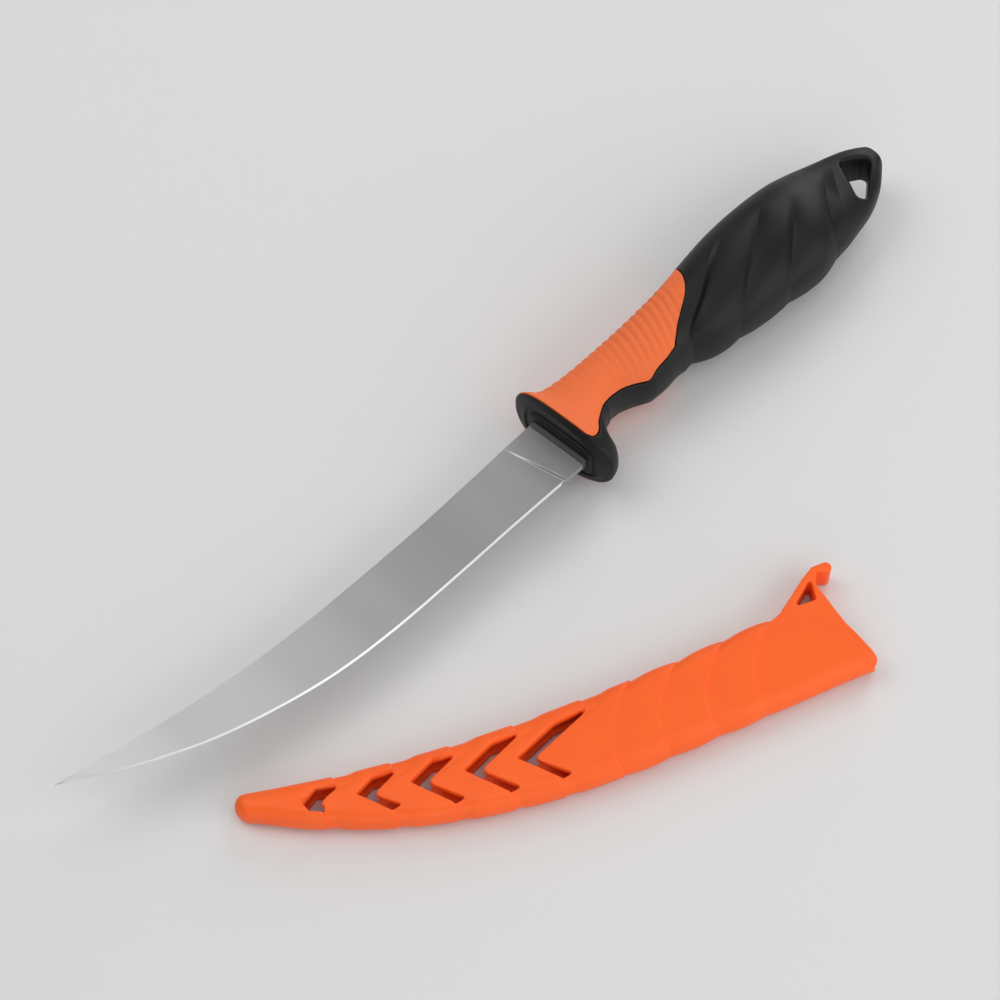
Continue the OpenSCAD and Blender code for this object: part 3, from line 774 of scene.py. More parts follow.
        # painted highlight: mark the bevel's faces behind the choil and the spine's corner faces,
        # fading along the blade
        x, y, _ = face_middles(piece, *place).T
        bevel = self.height * curve(self.edge_shares, -x / self.length) + self.bevel_h
        spine = self.height * curve(self.spine_shares, -x / self.length) - self.spine_round
        edge = ((x < choil_x) & (y < bevel)) * straight(self.bevel_painted_highlight, -x / self.length)
        mark(piece, edge + (y > spine) * straight(self.spine_painted_highlight, -x / self.length))
        LOG.info("blade: %d rings of %d points", *rings.shape[:2])
        return piece


def prism(name: str, outline: np.ndarray, span: tuple, place: tuple) -> bpy.types.Object:
    """Upright solid over an outline.

    Args:
        name: The piece's name.
        outline: The outline's points, anticlockwise.
        span: Lowest and highest z.
        place: Turn and place of the frame that the outline is in.

    Returns:
        The new object.
    """
    rings = np.stack([np.column_stack([outline, np.full(len(outline), z)]) for z in span])
    return tube(name, rings, *place)


def box_rings(x: np.ndarray, middle: np.ndarray, half: np.ndarray, power: float, steps: int
              ) -> np.ndarray:
    """Rings of rounded-box form across x: y and z go round a superellipse.

    Args:
        x: Each ring's place.
        middle: Each ring's middle in y.
        half: Each ring's half height and half width.
        power: The superellipse's power, where 2 is an ellipse.
        steps: Points in each ring.

    Returns:
        Rows of ring points.
    """
    turn = np.arange(steps) * 2 * math.pi / steps
    up = signed_power(np.cos(turn), 2 / power)[None, :]
    out = -signed_power(np.sin(turn), 2 / power)[None, :]
    y = middle[:, None] + half[:, :1] * up
    z = half[:, 1:] * out
    return np.stack([x[:, None] + 0 * y, y, z], axis=-1)


@dataclass
class Core:
    """The plastic core: the collar that shows, and the bar that holds the tang."""

    collar_t: float = 4.4
    collar_h: float = 19.5
    collar_y: float = 0.15
    core_t: float = 7.0
    core_h: float = 8.8
    core_l: float = 106.0
    core_y: float = 5.9
    soft: float = 0.35
    guard_lean: float = math.radians(4.5)
    plate_l: float = 3.9
    ledge: float = 0.01
    least: float = 0.2
    end_angles: tuple = (0.1, 1.45)
    squareness: float = 9.0
    steps: int = 96
    crease: float = 30.0

    def surface(self, grow: float) -> np.ndarray:
        """Rings from the collar's front face to the bar's round end.

        Args:
            grow: Room to add all round, for the hole that the core fills.

        Returns:
            Rows of ring points.
        """
        radius = self.core_h / 2
        back = self.plate_l + grow
        turn = np.linspace(0, math.pi / 2, 5)
        drop = self.soft * (1 - np.sin(turn))
        front = self.soft * (1 - np.cos(turn)) - grow
        bar = np.array([back, back + self.ledge, self.core_l - radius])
        end = self.core_l - radius + radius * np.sin(np.linspace(*self.end_angles, 12))
        round_end = np.sqrt(np.maximum(radius ** 2 - (end - end[0]) ** 2, self.least ** 2))
        x = np.concatenate([front, bar, end])
        half_h = np.concatenate([
            self.collar_h / 2 - drop, [self.collar_h / 2, radius, radius], round_end,
        ]) + grow
        half_t = np.concatenate([
            self.collar_t / 2 - drop, [self.collar_t / 2],
            np.full(len(end) + 2, self.core_t / 2),
        ]) + grow
        plate = x < back + self.ledge / 2
        middle = np.where(plate, self.collar_y, self.core_y)
        half = np.stack([half_h, half_t], axis=-1)
        rings = box_rings(x, middle, half, self.squareness, self.steps)
        lean = np.where(plate, math.tan(self.guard_lean), 0.0)[:, None]
        rings[..., 0] -= lean * rings[..., 1]
        return rings

    def build(self, place: tuple) -> bpy.types.Object:
        """Makes the core.

        Args:
            place: Turn and place of the knife's own frame.

        Returns:
            The finished piece.
        """
        piece = tube("core_fine", self.surface(0.0), *place)
        shade(piece, self.crease)
        LOG.info("core: %d points", len(piece.data.vertices))
        return piece


@dataclass
class HandleForm:
    """The handle's skin, which the overmould and the grip share."""

    length: float = 138.0
    height: float = 31.5
    half_w: float = 12.6
    roundness: float = 2.35
    flute_deep: float = 1.7
    least: float = 0.05
    guard_lean: float = math.radians(4.5)
    front_run: float = 0.012
    butt_run: float = 0.03
    butt_round: float = 0.015
    valley_power: float = 2.6
    valley_fade: tuple = ((0.455, 0.57), (0.604, 0.5), (0.72, 0.26), (0.828, 0.48))
    fade_power: float = 3.0
    valley_loss: float = 0.75
    spine_shares: tuple = (
        (0.013, 0.53), (0.017, 0.58), (0.0225, 0.59), (0.034, 0.553), (0.05, 0.5),
        (0.08, 0.457), (0.145, 0.435), (0.232, 0.438), (0.333, 0.454), (0.42, 0.492),
        (0.493, 0.546), (0.58, 0.597), (0.667, 0.61), (0.754, 0.59), (0.819, 0.54),
        (0.877, 0.463), (0.935, 0.381), (0.971, 0.305), (0.985, 0.262), (1, 0.215),
    )
    belly_shares: tuple = (
        (0.013, -0.49), (0.017, -0.527), (0.0225, -0.537), (0.04, -0.51), (0.057, -0.43),
        (0.078, -0.305), (0.105, -0.19), (0.135, -0.108), (0.165, -0.095), (0.195, -0.135),
        (0.235, -0.213), (0.275, -0.222), (0.32, -0.2), (0.36, -0.225), (0.42, -0.305),
        (0.5, -0.35), (0.61, -0.394), (0.7, -0.42), (0.76, -0.38), (0.83, -0.324),
        (0.89, -0.263), (0.94, -0.165), (0.975, -0.05), (0.985, -0.012), (1, 0.03),
    )
    width_shares: tuple = (
        (0.013, 0.86), (0.017, 0.96), (0.0225, 1), (0.036, 0.92), (0.056, 0.8), (0.095, 0.755),
        (0.16, 0.77), (0.232, 0.85), (0.326, 0.92), (0.435, 0.975), (0.55, 1), (0.68, 1),
        (0.754, 0.92), (0.804, 0.76), (0.84, 0.62), (0.884, 0.55), (0.95, 0.5), (0.98, 0.42),
        (1, 0.38),
    )
    flatness_shares: tuple = ((0, 1), (0.8, 1), (0.9, 1.35), (1, 1.35))
    slant_shares: tuple = (
        (0, -0.01024), (0.058, -0.01024), (0.16, 0.036), (0.29, 0.094), (0.393, 0.123),
        (0.455, 0.17), (0.604, 0.152), (0.72, 0.116), (0.828, 0.078), (0.913, 0.036), (1, 0),
    )
    bow_shares: tuple = (
        (0, 0.009), (0.05, 0.009), (0.16, 0), (0.29, 0), (0.393, -0.029), (0.455, 0.07),
        (0.604, 0.014), (0.72, 0), (1, 0),
    )
    guard_hold_shares: tuple = ((0, 1), (0.058, 1), (0.16, 0), (1, 0))
    valley_shares: tuple = (0.455, 0.604, 0.72, 0.828)
    grip_span: tuple = (0.0215, 0.39)
    grip_reach: tuple = (
        (0.0215, 0.636), (0.0267, 0.664), (0.044, 0.67), (0.0645, 0.681), (0.075, 0.7),
        (0.09, 0.726), (0.105, 0.747), (0.137, 0.768), (0.157, 0.777), (0.177, 0.792),
        (0.2, 0.805), (0.24, 0.812), (0.272, 0.823), (0.305, 0.837), (0.32, 0.838),
        (0.326, 0.818), (0.334, 0.783), (0.355, 0.769), (0.376, 0.763), (0.39, 0.75),
    )
    rear_move: tuple = (
        (0, -0.018), (0.222, -0.014), (0.367, -0.005), (0.444, -0.002), (0.511, -0.002),
        (0.589, 0.006), (0.667, 0.018), (0.75, 0.025), (1, 0.025),
    )
    move_end: float = 0.44
    seam_w: float = 0.3

    def valley(self, share: np.ndarray) -> np.ndarray:
        """How deep the valleys cut, from 0 on a flute's crest to 1 in a valley."""
        v = np.array(self.valley_shares)
        i = np.clip(np.searchsorted(v, share, side="right") - 1, 0, len(v) - 2)
        f = np.clip((share - v[i]) / (v[i + 1] - v[i]), 0, 1)
        inner = np.abs(2 * f - 1) ** self.valley_power
        front = np.clip(1 - (v[0] - share) / self.front_run, 0, 1)
        rear = np.clip(1 - (share - v[-1]) / self.butt_run, 0, 1)
        return np.where(share < v[0], front, np.where(share >= v[-1], rear, inner))

    def spread(self, share: np.ndarray, up: np.ndarray) -> np.ndarray:
        """How far the valleys still cut at a height from -1 at the belly to 1."""
        rise = (1 + up) / (1 + straight(self.valley_fade, share))
        kept = 1 - self.valley_loss * np.minimum(up, 0) ** 4
        return np.clip(1 - rise ** self.fade_power, 0, 1) * kept

    def reach(self, share: np.ndarray) -> np.ndarray:
        """Turn from the spine, in radians, that the grip reaches at each place."""
        held = np.clip(share, *self.grip_span)
        return math.pi * curve(self.grip_reach, held)

    def move(self, line: np.ndarray) -> np.ndarray:
        """How much of the rear edge's movement a line takes, rising to 1 at that edge."""
        front, rear = self.grip_span
        before = (np.clip(line - front, 0, None) / (rear - front)) ** 3
        after = 1 - smooth((line - rear) / (self.move_end - rear))
        return np.where(line <= rear, before, after)

    def skin(self, line: np.ndarray, turn: np.ndarray, depth: np.ndarray) -> np.ndarray:
        """Points of the handle's skin.

        A line runs round the handle at each share of its length, moved along near the
        grip's rear edge. Its height t goes from -1 at the belly to 1 at the spine, the
        line slides along the handle by slant·t + bow·t², and its ring is a superellipse
        between the upper and lower lines, drawn in by the valleys, by the depth asked
        for and by the rounded butt.

        Args:
            line: Place along the handle, as a share of its length.
            turn: Turn round the handle from its spine, in radians.
            depth: Depth below the skin, in millimetres.

        Returns:
            Points in the knife's own frame.
        """
        share = line + self.move(line) * straight(self.rear_move, np.abs(turn) / math.pi)
        up = signed_power(np.cos(turn), 2 / self.roundness)
        slide = straight(self.slant_shares, share) * up + straight(self.bow_shares, share) * up * up
        at = share + slide * (1 - straight(self.guard_hold_shares, share))
        end = closing(1 - at, self.butt_round)
        top = self.height * curve(self.spine_shares, at)
        low = self.height * curve(self.belly_shares, at)
        cut = depth + self.flute_deep * self.valley(share) * self.spread(share, up)
        tall = np.maximum(end * (top - low) / 2 - cut, self.least)
        wide = end * self.half_w * np.minimum(curve(self.width_shares, at), 1) - cut
        wide = np.maximum(wide, self.least)
        out = -signed_power(np.sin(turn), 2 / self.roundness / straight(self.flatness_shares, at))
        x = self.length * (share + slide)
        return np.stack([x, (top + low) / 2 + up * tall, out * wide], axis=-1)


@dataclass
class Overmould:
    """The black overmould: guard, belly, flutes and the lug with the lanyard hole.

    Each row of face_rings is one ring of the guard's front face from the collar out:
    its half height, half width and superellipse power, its place along the knife, and
    its share of the flange's bow.
    """

    form: HandleForm
    core: Core
    pocket: float = 2.32
    lip: float = 0.12
    bead_high: float = 0.22
    bead_run: float = 6.0
    flange_bow: float = 1.24
    flange_middle: float = 0.63
    hole_l: float = 12.0
    hole_w: float = 13.0
    hole_r: float = 2.0
    hole_at: float = 122.4
    hole_mid: float = 0.8
    hole_round: float = 1.3
    hole_rise: float = 0.14
    hole_top_at: float = 0.33
    hole_span: tuple = (-20, 20)
    hole_steps: int = 96
    core_gap: float = 0.06
    bead_start: float = 0.01
    bead_end: float = 0.02
    lip_depths: tuple = (0, 0.03, 0.12, 0.35, 1.0)
    lip_shifts: tuple = (0, 0.45, 0.8, 1.0, 1.02, 1.04)
    lip_turn: float = math.radians(0.5)
    tip_angle: float = 1.53
    guard_rows: tuple = (0.013, 0.0134, 0.014, 0.0148, 0.0157, 0.0167, 0.0176)
    held_rows: int = 80
    land_rows: int = 16
    brink_rows: int = 10
    flute_rows: int = 145
    butt_rows: int = 90
    tip_rows: int = 14
    pocket_columns: int = 71
    belly_columns: int = 46
    crease: float = 34.0
    face_rings: tuple = (
        (7.4, 1.9, 8, 1.3, 0), (9.6, 3.3, 8, 1.3, 0), (10.5, 4.55, 7, 1.3, 0),
        (10.85, 4.9, 6, 1.36, 0), (11.1, 5.2, 6, 1.55, 0), (11.3, 5.4, 6, 1.85, 0),
        (11.4, 5.5, 6, 2.2, 0), (12.0, 6.2, 5, 2.25, 0), (12.9, 7.65, 3.2, 2.25, 0),
        (13.1, 7.85, 3.2, 2.1, 0), (13.2, 7.95, 3.1, 1.9, 0), (13.5, 8.3, 3, 1.8, 0.1),
        (14.2, 8.95, 2.7, 1.77, 0.4), (15.0, 9.7, 2.5, 1.76, 0.75), (15.7, 10.4, 2.4, 1.77, 0.95),
    )

    def rows(self) -> tuple:
        """Shares of every row along the handle, and how deep each row's pocket is."""
        g0, g1 = self.form.grip_span
        seam = self.form.seam_w / self.form.length
        step = self.lip / self.form.length
        wall = np.array([*self.lip_depths, self.pocket])
        shift = np.array(self.lip_shifts) * step
        guard = np.array(self.guard_rows)
        front = g0 - seam - step + shift
        held = np.linspace(g0, g1, self.held_rows)
        rear = g1 + seam + step - shift[::-1]
        v0, v3 = self.form.valley_shares[0], self.form.valley_shares[-1]
        land = np.linspace(rear[-1], v0 - self.form.front_run, self.land_rows)[1:-1]
        brink = np.linspace(v0 - self.form.front_run, v0, self.brink_rows)[:-1]
        flutes = np.linspace(v0, v3, self.flute_rows)
        closed = self.form.butt_round
        butt = np.linspace(v3, 1 - closed, self.butt_rows)[1:]
        tip = 1 - closed * (1 - np.sin(np.linspace(0, self.tip_angle, self.tip_rows)[1:]))
        shares = np.concatenate([guard, front, held, rear, land, brink, flutes, butt, tip])
        depths = np.zeros(len(shares))
        a = len(guard)
        b = a + len(front)
        c = b + len(held)
        depths[a:b] = wall
        depths[b:c] = self.pocket
        depths[c:c + len(rear)] = wall[::-1]
        return shares, depths

    def turns(self, shares: np.ndarray) -> tuple:
        """Turn of every point, so that one column follows the grip's edge.

        Args:
            shares: The rows' places along the handle.

        Returns:
            Turns for every row and column, and each column's pocket depth.
        """
        edge = self.form.reach(shares)[:, None] + self.form.seam_w / self.form.half_w
        wall = np.array([*self.lip_depths, self.pocket])[::-1]
        shift = self.lip_turn * (1 - np.array(self.lip_shifts)[::-1])
        inner = edge * np.linspace(0, 1, self.pocket_columns)[None, :-1]
        lip = edge + shift[None, :]
        outer_start = lip[:, -1:]
        down = np.linspace(0, 1, self.belly_columns)[None, 1:]
        outer = outer_start + (math.pi - outer_start) * down
        half = np.concatenate([inner, lip, outer], axis=1)
        deep = np.concatenate([np.full(inner.shape[1], self.pocket), wall, np.zeros(outer.shape[1])])
        both = np.concatenate([half, -half[:, -2:0:-1]], axis=1)
        return both, np.concatenate([deep, deep[-2:0:-1]])

    def bead(self, shares: np.ndarray, turns: np.ndarray) -> np.ndarray:
        """Height of the bead that runs under the grip's long edge.

        Over bead_run degrees past the edge it is bead_high · sin²(π · past / bead_run).

        Args:
            shares: The rows' places along the handle.
            turns: Turn of every point.

        Returns:
            The bead's height at every point.
        """
        past = np.degrees(np.abs(turns) - self.form.reach(shares)[:, None]) / self.bead_run
        g0, g1 = self.form.grip_span
        held = smooth((shares - g0) / self.bead_start) * smooth((g1 - shares) / self.bead_end)
        return self.bead_high * np.sin(math.pi * np.clip(past, 0, 1)) ** 2 * held[:, None]

    def front(self, turn: np.ndarray) -> np.ndarray:
        """Rings of the guard's front face: boss, recess, step and flange.

        Args:
            turn: One row of turns, from the spine round.

        Returns:
            Rows of ring points, from the middle outwards.
        """
        tall, wide, power, x, bow = np.array(self.face_rings).T[:, :, None]
        up = signed_power(np.cos(turn)[None, :], 2 / power)
        out = -signed_power(np.sin(turn)[None, :], 2 / power)
        middle = self.core.collar_y + (self.flange_middle - self.core.collar_y) * bow
        y = middle + tall * up
        back = self.flange_bow * bow * up * up
        return np.stack([x - math.tan(self.form.guard_lean) * y + back, y, wide * out], axis=-1)

    def hole_corners(self) -> np.ndarray:
        """Middles of the lanyard hole's three rounded corners."""
        half = self.hole_w / 2 - self.hole_r
        tip = self.hole_at + self.hole_l - 2 * self.hole_r
        return np.array([
            [self.hole_at, self.hole_mid - half],
            [tip, self.hole_mid + self.hole_rise * self.hole_w],
            [self.hole_at + self.hole_top_at * self.hole_l, self.hole_mid + half],
        ])

    def build(self, place: tuple) -> bpy.types.Object:
        """Makes the overmould, with the core's cavity and the lanyard hole cut.

        Args:
            place: Turn and place of the knife's own frame.

        Returns:
            The finished piece.
        """
        shares, row_depth = self.rows()
        turns, column_depth = self.turns(shares)
        depth = np.minimum(row_depth[:, None], column_depth[None, :]) - self.bead(shares, turns)
        points = self.form.skin(shares[:, None] + 0 * turns, turns, depth)
        gap = past_hull(points[..., :2], self.hole_corners()) - self.hole_r
        points[..., 2] -= np.sign(points[..., 2]) * rim_drop(gap, self.hole_round)
        rings = np.concatenate([self.front(turns[0]), points])
        piece = tube("overmould_fine", rings, *place)
        carve(piece, tube("cavity", self.core.surface(self.core_gap), *place), Cut.TAKE)
        corners = self.hole_corners()
        outline = disc_ring(corners, np.full(len(corners), self.hole_r), self.hole_steps)
        carve(piece, prism("hole", outline, self.hole_span, place), Cut.TAKE)
        shade(piece, self.crease)
        LOG.info("overmould: %d points", len(piece.data.vertices))
        return piece


def close_ends(span: float, soft: float, count: int) -> np.ndarray:
    """Places from 0 to a span, close together over the soft stretch at both ends."""
    roll = soft * (1 - np.cos(np.linspace(0, math.pi / 2, 7)))
    return np.concatenate([roll, np.linspace(soft, span - soft, count)[1:-1], span - roll[::-1]])


@dataclass
class Grip:
    """The orange grip: a saddle over the spine with fine cross ribs."""

    form: HandleForm
    thick: float = 2.2
    soft: float = 0.35
    soft_turn: float = 0.012
    rib_pitch: float = 2.8
    rib_deep: float = 0.6
    side_deep: float = 0.28
    rib_lean: tuple = ((8, -0.1), (15, 0.05), (30, 0.28), (45, 0.38), (55, 0.42))
    rib_power: float = 0.8
    spine_half: float = math.radians(36)
    rear_start: float = 22.0
    rear_run: float = 14.0
    front_share: float = 0.2
    low_start: float = 100.0
    low_run: float = 40.0
    low_loss: float = 0.6
    first_rib: tuple = (3.6, 2.0)
    last_rib: tuple = (57.0, 4.0)
    rows: int = 300
    columns: int = 140
    crease: float = 40.0

    def ribs(self, line: np.ndarray, turn: np.ndarray) -> np.ndarray:
        """Depth of the ribs' valleys.

        Along the spine the ribs are round scallops with narrow valleys. Down the
        sides they widen into shallow waves that fan out: a rib leans by rib_lean at
        each distance from the heel as it goes down.

        Args:
            line: Place along the handle, as a share of its length.
            turn: Turn from the spine, in radians.

        Returns:
            Depth below the skin, in millimetres.
        """
        x, y, _ = np.moveaxis(self.form.skin(line, turn, 0 * turn), -1, 0)
        top = self.form.height * curve(self.form.spine_shares, x / self.form.length)
        lean = straight(self.rib_lean, x)
        phase = (x - lean * (y - top)) / self.rib_pitch
        scallop = 1 - np.abs(np.sin(math.pi * phase)) ** self.rib_power
        wave = (0.5 + 0.5 * np.cos(2 * math.pi * phase)) ** 2
        spine = np.exp(-(turn / self.spine_half) ** 4)
        rear = smooth((x - self.rear_start) / self.rear_run)
        low = smooth((np.abs(np.degrees(turn)) - self.low_start) / self.low_run)
        flank = np.abs(np.sin(turn)) * (self.front_share + (1 - self.front_share) * rear)
        flank = flank * (1 - self.low_loss * low)
        first, last = self.first_rib, self.last_rib
        ends = smooth((x - first[0]) / first[1]) * smooth((last[0] - x) / last[1])
        return ends * (self.rib_deep * scallop * spine + self.side_deep * wave * flank)

    def build(self, place: tuple) -> bpy.types.Object:
        """Makes the grip as a walled sheet whose rim rolls into the seam, with painted shade in its rib
        valleys.

        Args:
            place: Turn and place of the knife's own frame.

        Returns:
            The finished piece.
        """
        front, rear = self.form.grip_span
        length = (rear - front) * self.form.length
        x = close_ends(length, self.soft, self.rows)
        unit = close_ends(2.0, self.soft_turn, self.columns) - 1
        line = (front + x / self.form.length)[:, None] + 0 * unit[None, :]
        turn = self.form.reach(line) * unit[None, :]
        gone_x = np.clip(1 - np.minimum(x, length - x) / self.soft, 0, 1)[:, None]
        gone_turn = np.clip(1 - (1 - np.abs(unit)) / self.soft_turn, 0, 1)[None, :]
        gone = np.maximum(gone_x, gone_turn)
        drop = self.soft * (1 - np.sqrt(np.maximum(1 - gone ** 2, 0)))
        ribs = self.ribs(line, turn) * (1 - gone)
        outer = self.form.skin(line, turn, drop + ribs)
        inner = self.form.skin(line, turn, self.thick + 0 * line)
        points = np.concatenate([outer.reshape(-1, 3), inner.reshape(-1, 3)])
        piece = new_piece("grip_fine", laid(points, *place), sheet_faces(*line.shape))
        # painted shade: rib valleys get the darker colour, rib tops and the smooth ends the paler one;
        # the inner sheet gets none
        painted_light = 1 - ribs / self.rib_deep
        mark(piece, np.concatenate([painted_light.ravel(), 0 * painted_light.ravel()]))
        shade(piece, self.crease)
        LOG.info("grip: %d rows of %d points", *line.shape)
        return piece


@dataclass
class Sheath:
    """The orange sheath: scales, windows, slot and latch hook.

    Its own frame has the point at the origin, the mouth towards +x, and z up from
    the floor.
    """

    length: float = 172.0
    width: float = 24.9
    thick: float = 8.8
    edge_wall: float = 1.6
    slot_t: float = 4.6
    edge_r: float = 4.0
    back_r: float = 3.6
    step: float = 0.8
    edge_step: float = 0.4
    mouth_lean: float = math.radians(15)
    pitch: float = 14.4
    window_w: float = 2.9
    window_corner: float = 0.17
    window_round: float = 1.2
    window_crisp: float = 0.35
    back_round: float = 0.5
    mouth_round: float = 0.6
    hook_t: float = 1.8
    nose_r: float = 1.6
    hook_round: float = 0.5
    hole_corner: float = 0.7
    windows: int = 5
    plain: int = 4
    rim_blend: float = 0.5
    rise_lag: float = 0.02
    rise_run: float = 0.5
    slot_start: float = 0.028
    slot_end: float = 0.99
    slot_past: float = 1.12
    slot_flare: float = 0.11
    slot_lean_from: float = 0.9
    cut_over: float = 0.2
    slot_rows: int = 90
    disc_steps: int = 96
    window_steps: int = 64
    front_columns: int = 84
    back_columns: int = 26
    crease: float = 38.0
    scale_rows: tuple = (44, 44, 44, 44, 44, 76, 26, 26, 26, 30)
    row_head: tuple = (0.008, 0.02, 0.035)
    row_tail: tuple = (0.97, 0.985, 0.993, 1.0)
    nose_rows: int = 16
    nose_share: float = 0.16
    nose_angle: float = 0.06
    upper_shares: tuple = (
        (0, 0.077), (0.022, 0.072), (0.07, 0.029), (0.13, -0.016), (0.2, -0.05), (0.29, -0.075),
        (0.38, -0.074), (0.47, -0.049), (0.55, -0.01), (0.64, 0.043), (0.73, 0.11),
        (0.815, 0.19), (0.9, 0.257), (1, 0.275),
    )
    lower_shares: tuple = (
        (0, -0.155), (0.025, -0.215), (0.09, -0.431), (0.14, -0.557), (0.21, -0.711),
        (0.27, -0.809), (0.36, -0.91), (0.47, -0.962), (0.55, -0.953), (0.65, -0.897),
        (0.75, -0.817), (0.84, -0.75), (0.93, -0.669), (1, -0.612),
    )
    front_shares: tuple = ((0, 0.87), (0.02, 0.93), (0.06, 0.98), (0.1, 1), (0.14, 1), (1, 1))
    nose_round: float = 0.0175
    fillet_share: float = 0.47
    first_apex: float = 0.0965
    apex_across: float = 0.53
    reach_power: float = 1.2
    upper_reach: tuple = (0.69, 0.77, 0.9, 1.14, 1.5)
    lower_reach: tuple = (0.33, 0.55, 0.65, 0.69, 0.66)
    apex_shares: tuple = (-0.27, -0.34, -0.386, -0.438, -0.482)
    bend_shares: tuple = ((0.31, 0.23), (0.35, 0.23), (0.49, 0.29), (0.63, 0.36), (0.85, 0.45))
    top_shares: tuple = ((0.69, 0.17), (0.77, 0.23), (0.88, 0.27), (1.13, 0.4), (1.46, 0.54))
    low_left: tuple = (
        (0.12, -0.14), (0.534, -0.466), (0.674, -0.626), (0.694, -0.646), (0.674, -0.606),
    )
    low_right: tuple = (
        (0.34, -0.23), (0.668, -0.433), (0.808, -0.593), (0.828, -0.613), (0.808, -0.573),
    )
    tongue_shares: tuple = ((0.394, -0.028), (0.353, -0.1), (0.383, -0.184))
    first_scale: float = 0.577
    scale_pitch: float = 0.97
    scale_bow: tuple = (
        (0, 0.055), (0.15, 0), (0.3, 0.028), (0.47, 0.11), (0.64, 0.26), (0.79, 0.43), (1, 0.8),
    )
    window_swell: tuple = (
        (0, 0), (0.15, 0), (0.175, 0.04), (0.2, 0.16), (0.225, 0.32), (0.25, 0.5), (0.275, 0.68),
        (0.3, 0.84), (0.325, 0.96), (0.35, 1), (1, 1),
    )
    swell_lean: tuple = (0.11, 0.11, 0.11, 0.11, 0.22)
    plain_swell: tuple = (
        (0, 0), (0.1, 0.45), (0.2, 0.8), (0.32, 1.3), (0.5, 1.6), (0.7, 1.45), (0.85, 1), (1, 0.35),
    )
    mouth_swell: tuple = ((0, 0.1), (0.15, 0.9), (0.4, 1.2), (1, 1.4))
    swell_back: float = 0.1
    window_crown: tuple = ((0, 1), (0.93, 1), (0.97, 0.85), (1, 0.4))
    plain_crown: tuple = (
        (0, 0), (0.1, 0.3), (0.25, 0.7), (0.45, 0.95), (0.6, 1), (0.88, 1), (0.94, 0.8), (1, 0.3),
    )
    mouth_shares: tuple = (
        (0, 0.6), (0.07, 0.54), (0.187, 0.43), (0.415, 0.168), (0.595, -0.069), (0.716, -0.18),
        (1, -0.43),
    )
    mouth_corner: float = 0.07
    hook_shares: tuple = (
        ("base", 0.866, 0.1), ("knee", 0.906, 0.222), ("elbow", 0.962, 0.545),
        ("shoulder", 0.984, 0.648), ("nose", 1.003, 0.632), ("throat", 0.9715, 0.486),
        ("rim", 0.9872, 0.018), ("sill", 0.87, -0.08),
    )
    hole_shares: tuple = ((0.9675, 0.49), (0.9395, 0.311), (0.964, 0.317))

    def upper(self, share: np.ndarray) -> np.ndarray:
        """The upper edge's line."""
        return self.width * curve(self.upper_shares, share)

    def lower(self, share: np.ndarray) -> np.ndarray:
        """The lower edge's line."""
        return self.width * curve(self.lower_shares, share)

    def lines(self, face: np.ndarray, whole: np.ndarray) -> np.ndarray:
        """Lines where one scale ends over the next, as shares of the length.

        A window's line bends back from its apex, a plain scale's line bows, and the
        last line is the leaning mouth.

        Args:
            face: Place across the flat face, from 0 at its lower edge to 1.
            whole: Place across the whole sheath, from 0 at its lower edge to 1.

        Returns:
            One row for each line, the first of them at the sheath's point.
        """
        pitch = self.pitch / self.length
        k = np.arange(self.windows)[:, None]
        past = np.clip((face - self.apex_across) / (1 - self.apex_across), 0, 1)
        high = past ** self.reach_power
        low = np.clip((self.apex_across - face) / self.apex_across, 0, 1)
        reach = np.array(self.upper_reach)[:, None] * high + np.array(self.lower_reach)[:, None] * low
        bent = self.first_apex + pitch * (k + reach)
        n = np.arange(self.plain)[:, None]
        bowed = self.first_scale + pitch * (self.scale_pitch * n + curve(self.scale_bow, whole))
        lean = math.tan(self.mouth_lean) * self.width / self.length
        mouth = 1 + lean * curve(self.mouth_shares, whole)
        return np.concatenate([0 * face[None], bent, bowed, mouth[None]])

    def swell(self, scale: np.ndarray, f: np.ndarray, face: np.ndarray) -> tuple:
        """How far the scales have swelled over the long edges and over the face.

        Args:
            scale: Each row's scale number.
            f: Each row's place along its scale, from 0 to 1.
            face: Each column's place across the flat face.

        Returns:
            The swell of the edges and the swell of the face, for every point.
        """
        last = self.windows + self.plain
        lean = np.zeros(last + 1)
        lean[1:self.windows + 1] = self.swell_lean
        windowed = straight(self.window_swell, f - lean[scale] * face)
        number = scale + 0 * face
        cases = [number == 0, number <= self.windows, number < last]
        plain = curve(self.plain_swell, f) + 0 * face
        mouth = curve(self.mouth_swell, f) + 0 * face
        edges = np.select(cases, [np.ones_like(plain), windowed, plain], mouth)
        risen = smooth((f - lean[scale] * face - self.rise_lag) / self.rise_run)
        crown = straight(self.window_crown, f) + 0 * face
        arch = curve(self.plain_crown, f) + 0 * face
        return edges, np.select(cases, [crown, risen * crown, arch], np.zeros_like(arch))

    def rows(self) -> tuple:
        """Scale number and place in its scale of every row, close together at its ends."""
        turn = np.linspace(self.nose_angle, math.pi / 2, self.nose_rows)
        nose = self.nose_share * (1 - np.cos(turn))
        tail = self.row_tail
        scale, place = [], []
        for k, count in enumerate(self.scale_rows):
            start = nose if k == 0 else np.array(self.row_head)
            f = np.concatenate([start, np.linspace(start[-1], tail[0], count)[1:], tail[1:]])
            scale.append(np.full(len(f), k))
            place.append(f)
        return np.concatenate(scale), np.concatenate(place)

